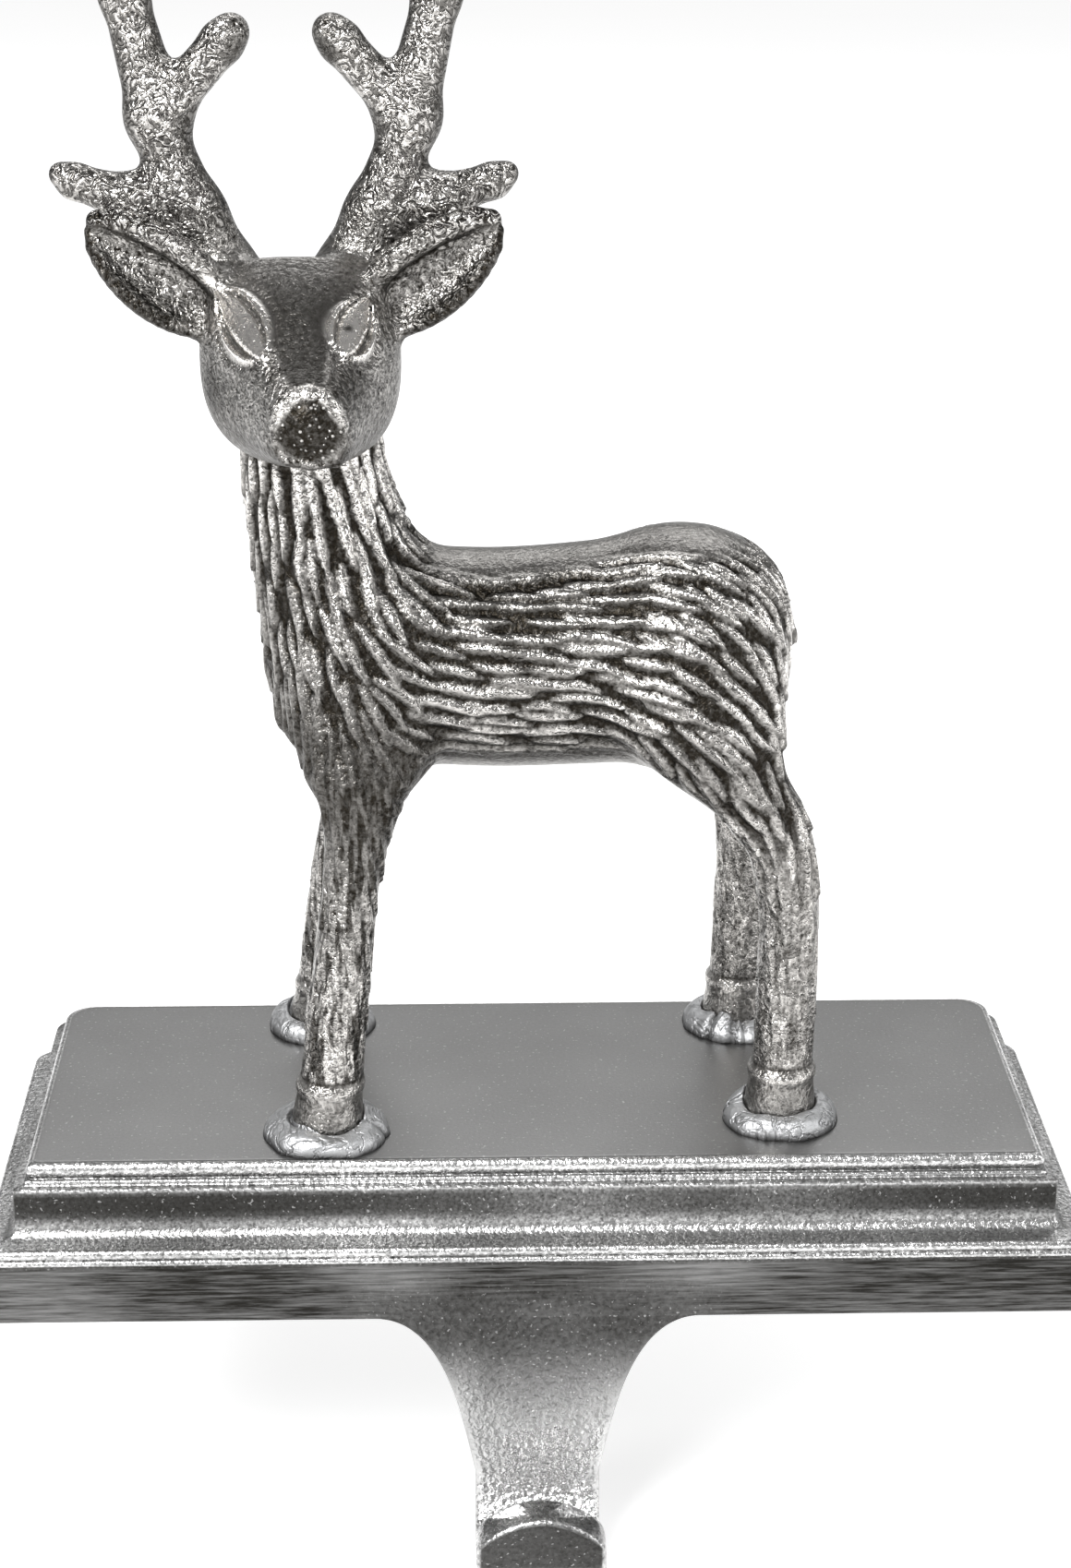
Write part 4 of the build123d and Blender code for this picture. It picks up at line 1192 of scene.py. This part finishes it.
# %% Stag finish
STAG_DARK, STAG_BRIGHT = (0.021, 0.018, 0.014, 1), (0.97, 0.942, 0.905, 1)
stag = Finish("stag_cast_metal", Metallic=1.0)
polish, grit, worm_share = (stag.attribute(name) for name in ("polish", "grit", "worm"))
grain = stag.noise(0.36, 2.0, 0.65, 0.2) - 0.5
worm = abs(stag.noise(0.80, 2.0, 0.55, 0.9) * 2 - 1)
blotch = stag.noise(4.0, 2.0)
crease = (1 - stag.step(worm, 0.03, 0.24)) * worm_share
drawn_out = stag.noise(0.55, 2.0, 0.5, 0.3, stag.stretched((1, 1, 0.16)))
streak = stag.step(drawn_out, 0.46, 0.60) * stag.attribute("streak")
dots = (1 - stag.step(stag.pits(0.80), 0.16, 0.30)) * stag.attribute("nose")
rubbed = polish * (0.70 + blotch * 0.60) * (1 + grain * grit * 4) * (1 - crease * 0.8) * (1 - streak * 0.85)
stag.feed(
    Base_Color=stag.blend(stag.clamp(rubbed + grain * grit * 0.20 + dots * blotch), STAG_DARK, STAG_BRIGHT),
    Roughness=0.40 - polish * 0.32,
    Normal=stag.bump(grain * (0.2 + grit * 0.6) + worm * worm_share * 1.5 + dots, 0.42, 0.9),
)
stag.coat(stag_body, stag_head)

# %% [markdown]
# ## Plinth and hook finish
# The same metal, satin on the flat top, speckled on the mouldings, and brushed along the band, where noise drawn
# out along the path gives the scratches. The tongue keeps its pebbled cast skin. The colour takes the painted
# light stored on plinth and hook, and scattered bright specks are painted glints.

# %% Base finish
BASE_DARK, BASE_BRIGHT = (0.020, 0.019, 0.017, 1), (0.945, 0.943, 0.940, 1)
SCRATCHES_ALONG, SCRATCHES_ACROSS = 110, 2400       # how often the pattern changes in a metre
base = Finish("base_cast_metal", Metallic=1.0)
satin, brushed, peel = (base.attribute(name) for name in ("satin", "brushed", "peel"))
rough_cast = (1 - satin) * (1 - brushed)
base_grain = base.noise(0.24, 2.0, 0.6, 0.2)
fine = base_grain - 0.5
pebble = base.noise(0.42, 2.0, 0.5, 0.3)
cloud = base.noise(9.0, 3.0, 0.55)
# Painted glints: scattered bright specks in the colour.
painted_glint = base.step(base.noise(0.26, 1.0), 0.68, 0.74)
height = base.add("ShaderNodeSeparateXYZ", {}, {"Vector": base.place()}, output="Z")
brush_way = base.add("ShaderNodeCombineXYZ", {}, {
    "X": base.attribute("run") * SCRATCHES_ALONG, "Y": height * SCRATCHES_ACROSS})
scratch = base.add("ShaderNodeTexNoise", {}, {"Vector": brush_way, "Scale": 1.0, "Detail": 5.0, "Roughness": 0.7})
speckle = 1 + fine * rough_cast * (1 - peel) * 3.0
# The tone attribute carries the painted highlights and painted reflections of plinth and hook.
lit = base.clamp(
    base.attribute("tone") * (0.18 + cloud * 1.45) * speckle + satin * (0.225 + cloud * 0.08)
    + rough_cast * painted_glint * 0.25 + brushed * (scratch - 0.52) * 0.55
    + peel * (pebble - 0.5) * 0.16 + satin * (fine * 0.08 + painted_glint * 0.20))
skin = base_grain * (0.15 + rough_cast * 0.6) + scratch * brushed * 0.4 + pebble * (peel * 2.2 + rough_cast * 0.9)
base.feed(
    Base_Color=base.blend(lit, BASE_DARK, BASE_BRIGHT),
    Roughness=0.42 - lit * 0.22,
    Normal=base.bump(skin, 0.20, 0.7),
)
base.coat(plinth, hook)

# %% [markdown]
# ## Filler finish
# Filler metal was laid and left, so it is duller and lumpier than the rubbed castings, with faint cracks where it
# shrank: thin lines along which a soft noise passes its middle value.

# %% Filler finish
FILLER_DARK, FILLER_BRIGHT = (0.012, 0.011, 0.010, 1), (0.93, 0.94, 0.955, 1)
filler = Finish("filler_metal", Metallic=1.0)
filler_grain = filler.noise(0.7, 3.0, 0.6, 0.6)
filler_crack = 1 - filler.step(abs(filler.noise(2.6, 3.0, 0.6, 0.8) * 2 - 1), 0.0, 0.10)
# The beads' painted shade darkens the crevice, the outer foot and the creases.
filler_tone = filler.attribute("shine") * (0.36 + filler_grain * 0.36) * (1 - filler_crack * 0.20)
filler.feed(
    Base_Color=filler.blend(filler.clamp(filler_tone), FILLER_DARK, FILLER_BRIGHT),
    Roughness=0.52 + (filler_grain - 0.5) * 0.2,
    Normal=filler.bump(filler_grain - filler_crack * 0.5, 0.35, 0.8),
)
filler.coat(beads)

# %% [markdown]
# ## Pad finish
# The pad is a thin matt black sheet, flat as the CAD has it, so the CAD's own mesh only gets a finish.

# %% Pad finish
PAD_DARK, PAD_PALE = (0.018, 0.018, 0.018, 1), (0.045, 0.045, 0.045, 1)
rubber = Finish("pad_rubber")
rubber_grain = rubber.noise(0.4, 2.0)
rubber.feed(
    Base_Color=rubber.blend(rubber_grain, PAD_DARK, PAD_PALE),
    Roughness=0.75 + rubber_grain * 0.15,
    Normal=rubber.bump(rubber_grain, 0.08),
)
rubber.coat(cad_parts["mantel_pad"])

# %% [markdown]
# ## Floor
# The photograph has a plain white ground. A wide pale disc under the hook stands for it; it glows a little, so
# that it stays nearly white and the metal has something bright to mirror.

# %% Floor
FLOOR_Z = -32.3
FLOOR_RADIUS = 6            # metres
FLOOR_SIDES = 96
FLOOR_DARK, FLOOR_PALE = (0.60, 0.60, 0.60, 1), (0.63, 0.63, 0.63, 1)
floor_turn = np.linspace(0, 2 * pi, FLOOR_SIDES, endpoint=False)
floor_ring = np.stack([FLOOR_RADIUS * np.cos(floor_turn), FLOOR_RADIUS * np.sin(floor_turn),
                       np.full(FLOOR_SIDES, FLOOR_Z * MM)], 1)
floor_mesh = bpy.data.meshes.new("floor")
floor_mesh.from_pydata(floor_ring.tolist(), [], [list(range(FLOOR_SIDES))])
floor = bpy.data.objects.new("floor", floor_mesh)
bpy.context.scene.collection.objects.link(floor)
paper = Finish("pale_floor", Roughness=0.9, Emission_Color=(1, 1, 1, 1), Emission_Strength=0.70)
paper.feed(Base_Color=paper.blend(paper.noise(40.0, 2.0), FLOOR_DARK, FLOOR_PALE))
paper.coat(floor)

# %% [markdown]
# ## Lights
# Large soft lamps stand round the piece: the key over the viewer's left shoulder, a weak fill at the right and
# one behind for the rims. Metal shows what it mirrors, so the lamps' sizes matter more than their strength.

# %% Lights
LAMP_AIM = (0, 0, 0.07)
LAMPS = (                   # name, place and size in metres, watts
    ("key", (-0.50, -0.70, 0.95), (0.60, 0.60), 22.0),
    ("fill", (0.85, -0.30, 0.55), (0.30, 0.80), 4.0),
    ("back", (0.10, 0.85, 0.80), (1.0, 0.35), 3.0))
SKY = 0.28


def soft_light(name, place, size, watts):
    """Rectangular lamp at a place, turned to face the piece."""
    lamp = bpy.data.lights.new(name, "AREA")
    lamp.shape = "RECTANGLE"
    lamp.size, lamp.size_y = size
    lamp.energy = watts
    holder = bpy.data.objects.new(name, lamp)
    holder.location = place
    holder.rotation_euler = (Vector(LAMP_AIM) - Vector(place)).to_track_quat("-Z", "Y").to_euler()
    bpy.context.scene.collection.objects.link(holder)
    print(name, "lamp", watts, "W")


for lamp in LAMPS:
    soft_light(*lamp)
world = bpy.data.worlds.new("studio")
bpy.context.scene.world = world
world.use_nodes = True
sky = world.node_tree.nodes["Background"]
sky.inputs["Color"].default_value = (1, 1, 1, 1)
sky.inputs["Strength"].default_value = SKY
bpy.context.scene.view_settings.view_transform = "Standard"

# %% [markdown]
# ## Camera
# The camera is where the photograph was taken from: a little above, looking down at the stag's flank. Its place,
# angles and focal length were fitted to the photograph, so that the render can be laid over it.

# %% Camera
PHOTO_HEIGHT = 1699
FOCAL_PIXELS = 3345.1
SENSOR = 36.0
CAMERA_PLACE = (-0.00914, -0.34978, 0.19173)
azimuth, pitch, roll = radians(1.549), radians(20.738), radians(-0.127)
ahead = Vector((sin(azimuth) * cos(pitch), cos(azimuth) * cos(pitch), -sin(pitch)))
right = Matrix.Rotation(roll, 3, ahead) @ Vector((cos(azimuth), -sin(azimuth), 0))
above = right.cross(ahead)
camera_data = bpy.data.cameras.new("camera")
camera_data.sensor_width = SENSOR
camera_data.lens = SENSOR * FOCAL_PIXELS / PHOTO_HEIGHT
camera = bpy.data.objects.new("camera", camera_data)
camera.matrix_world = Matrix.Translation(CAMERA_PLACE) @ Matrix((right, above, -ahead)).transposed().to_4x4()
bpy.context.scene.collection.objects.link(camera)
bpy.context.scene.camera = camera
print("camera lens", round(camera_data.lens, 2))
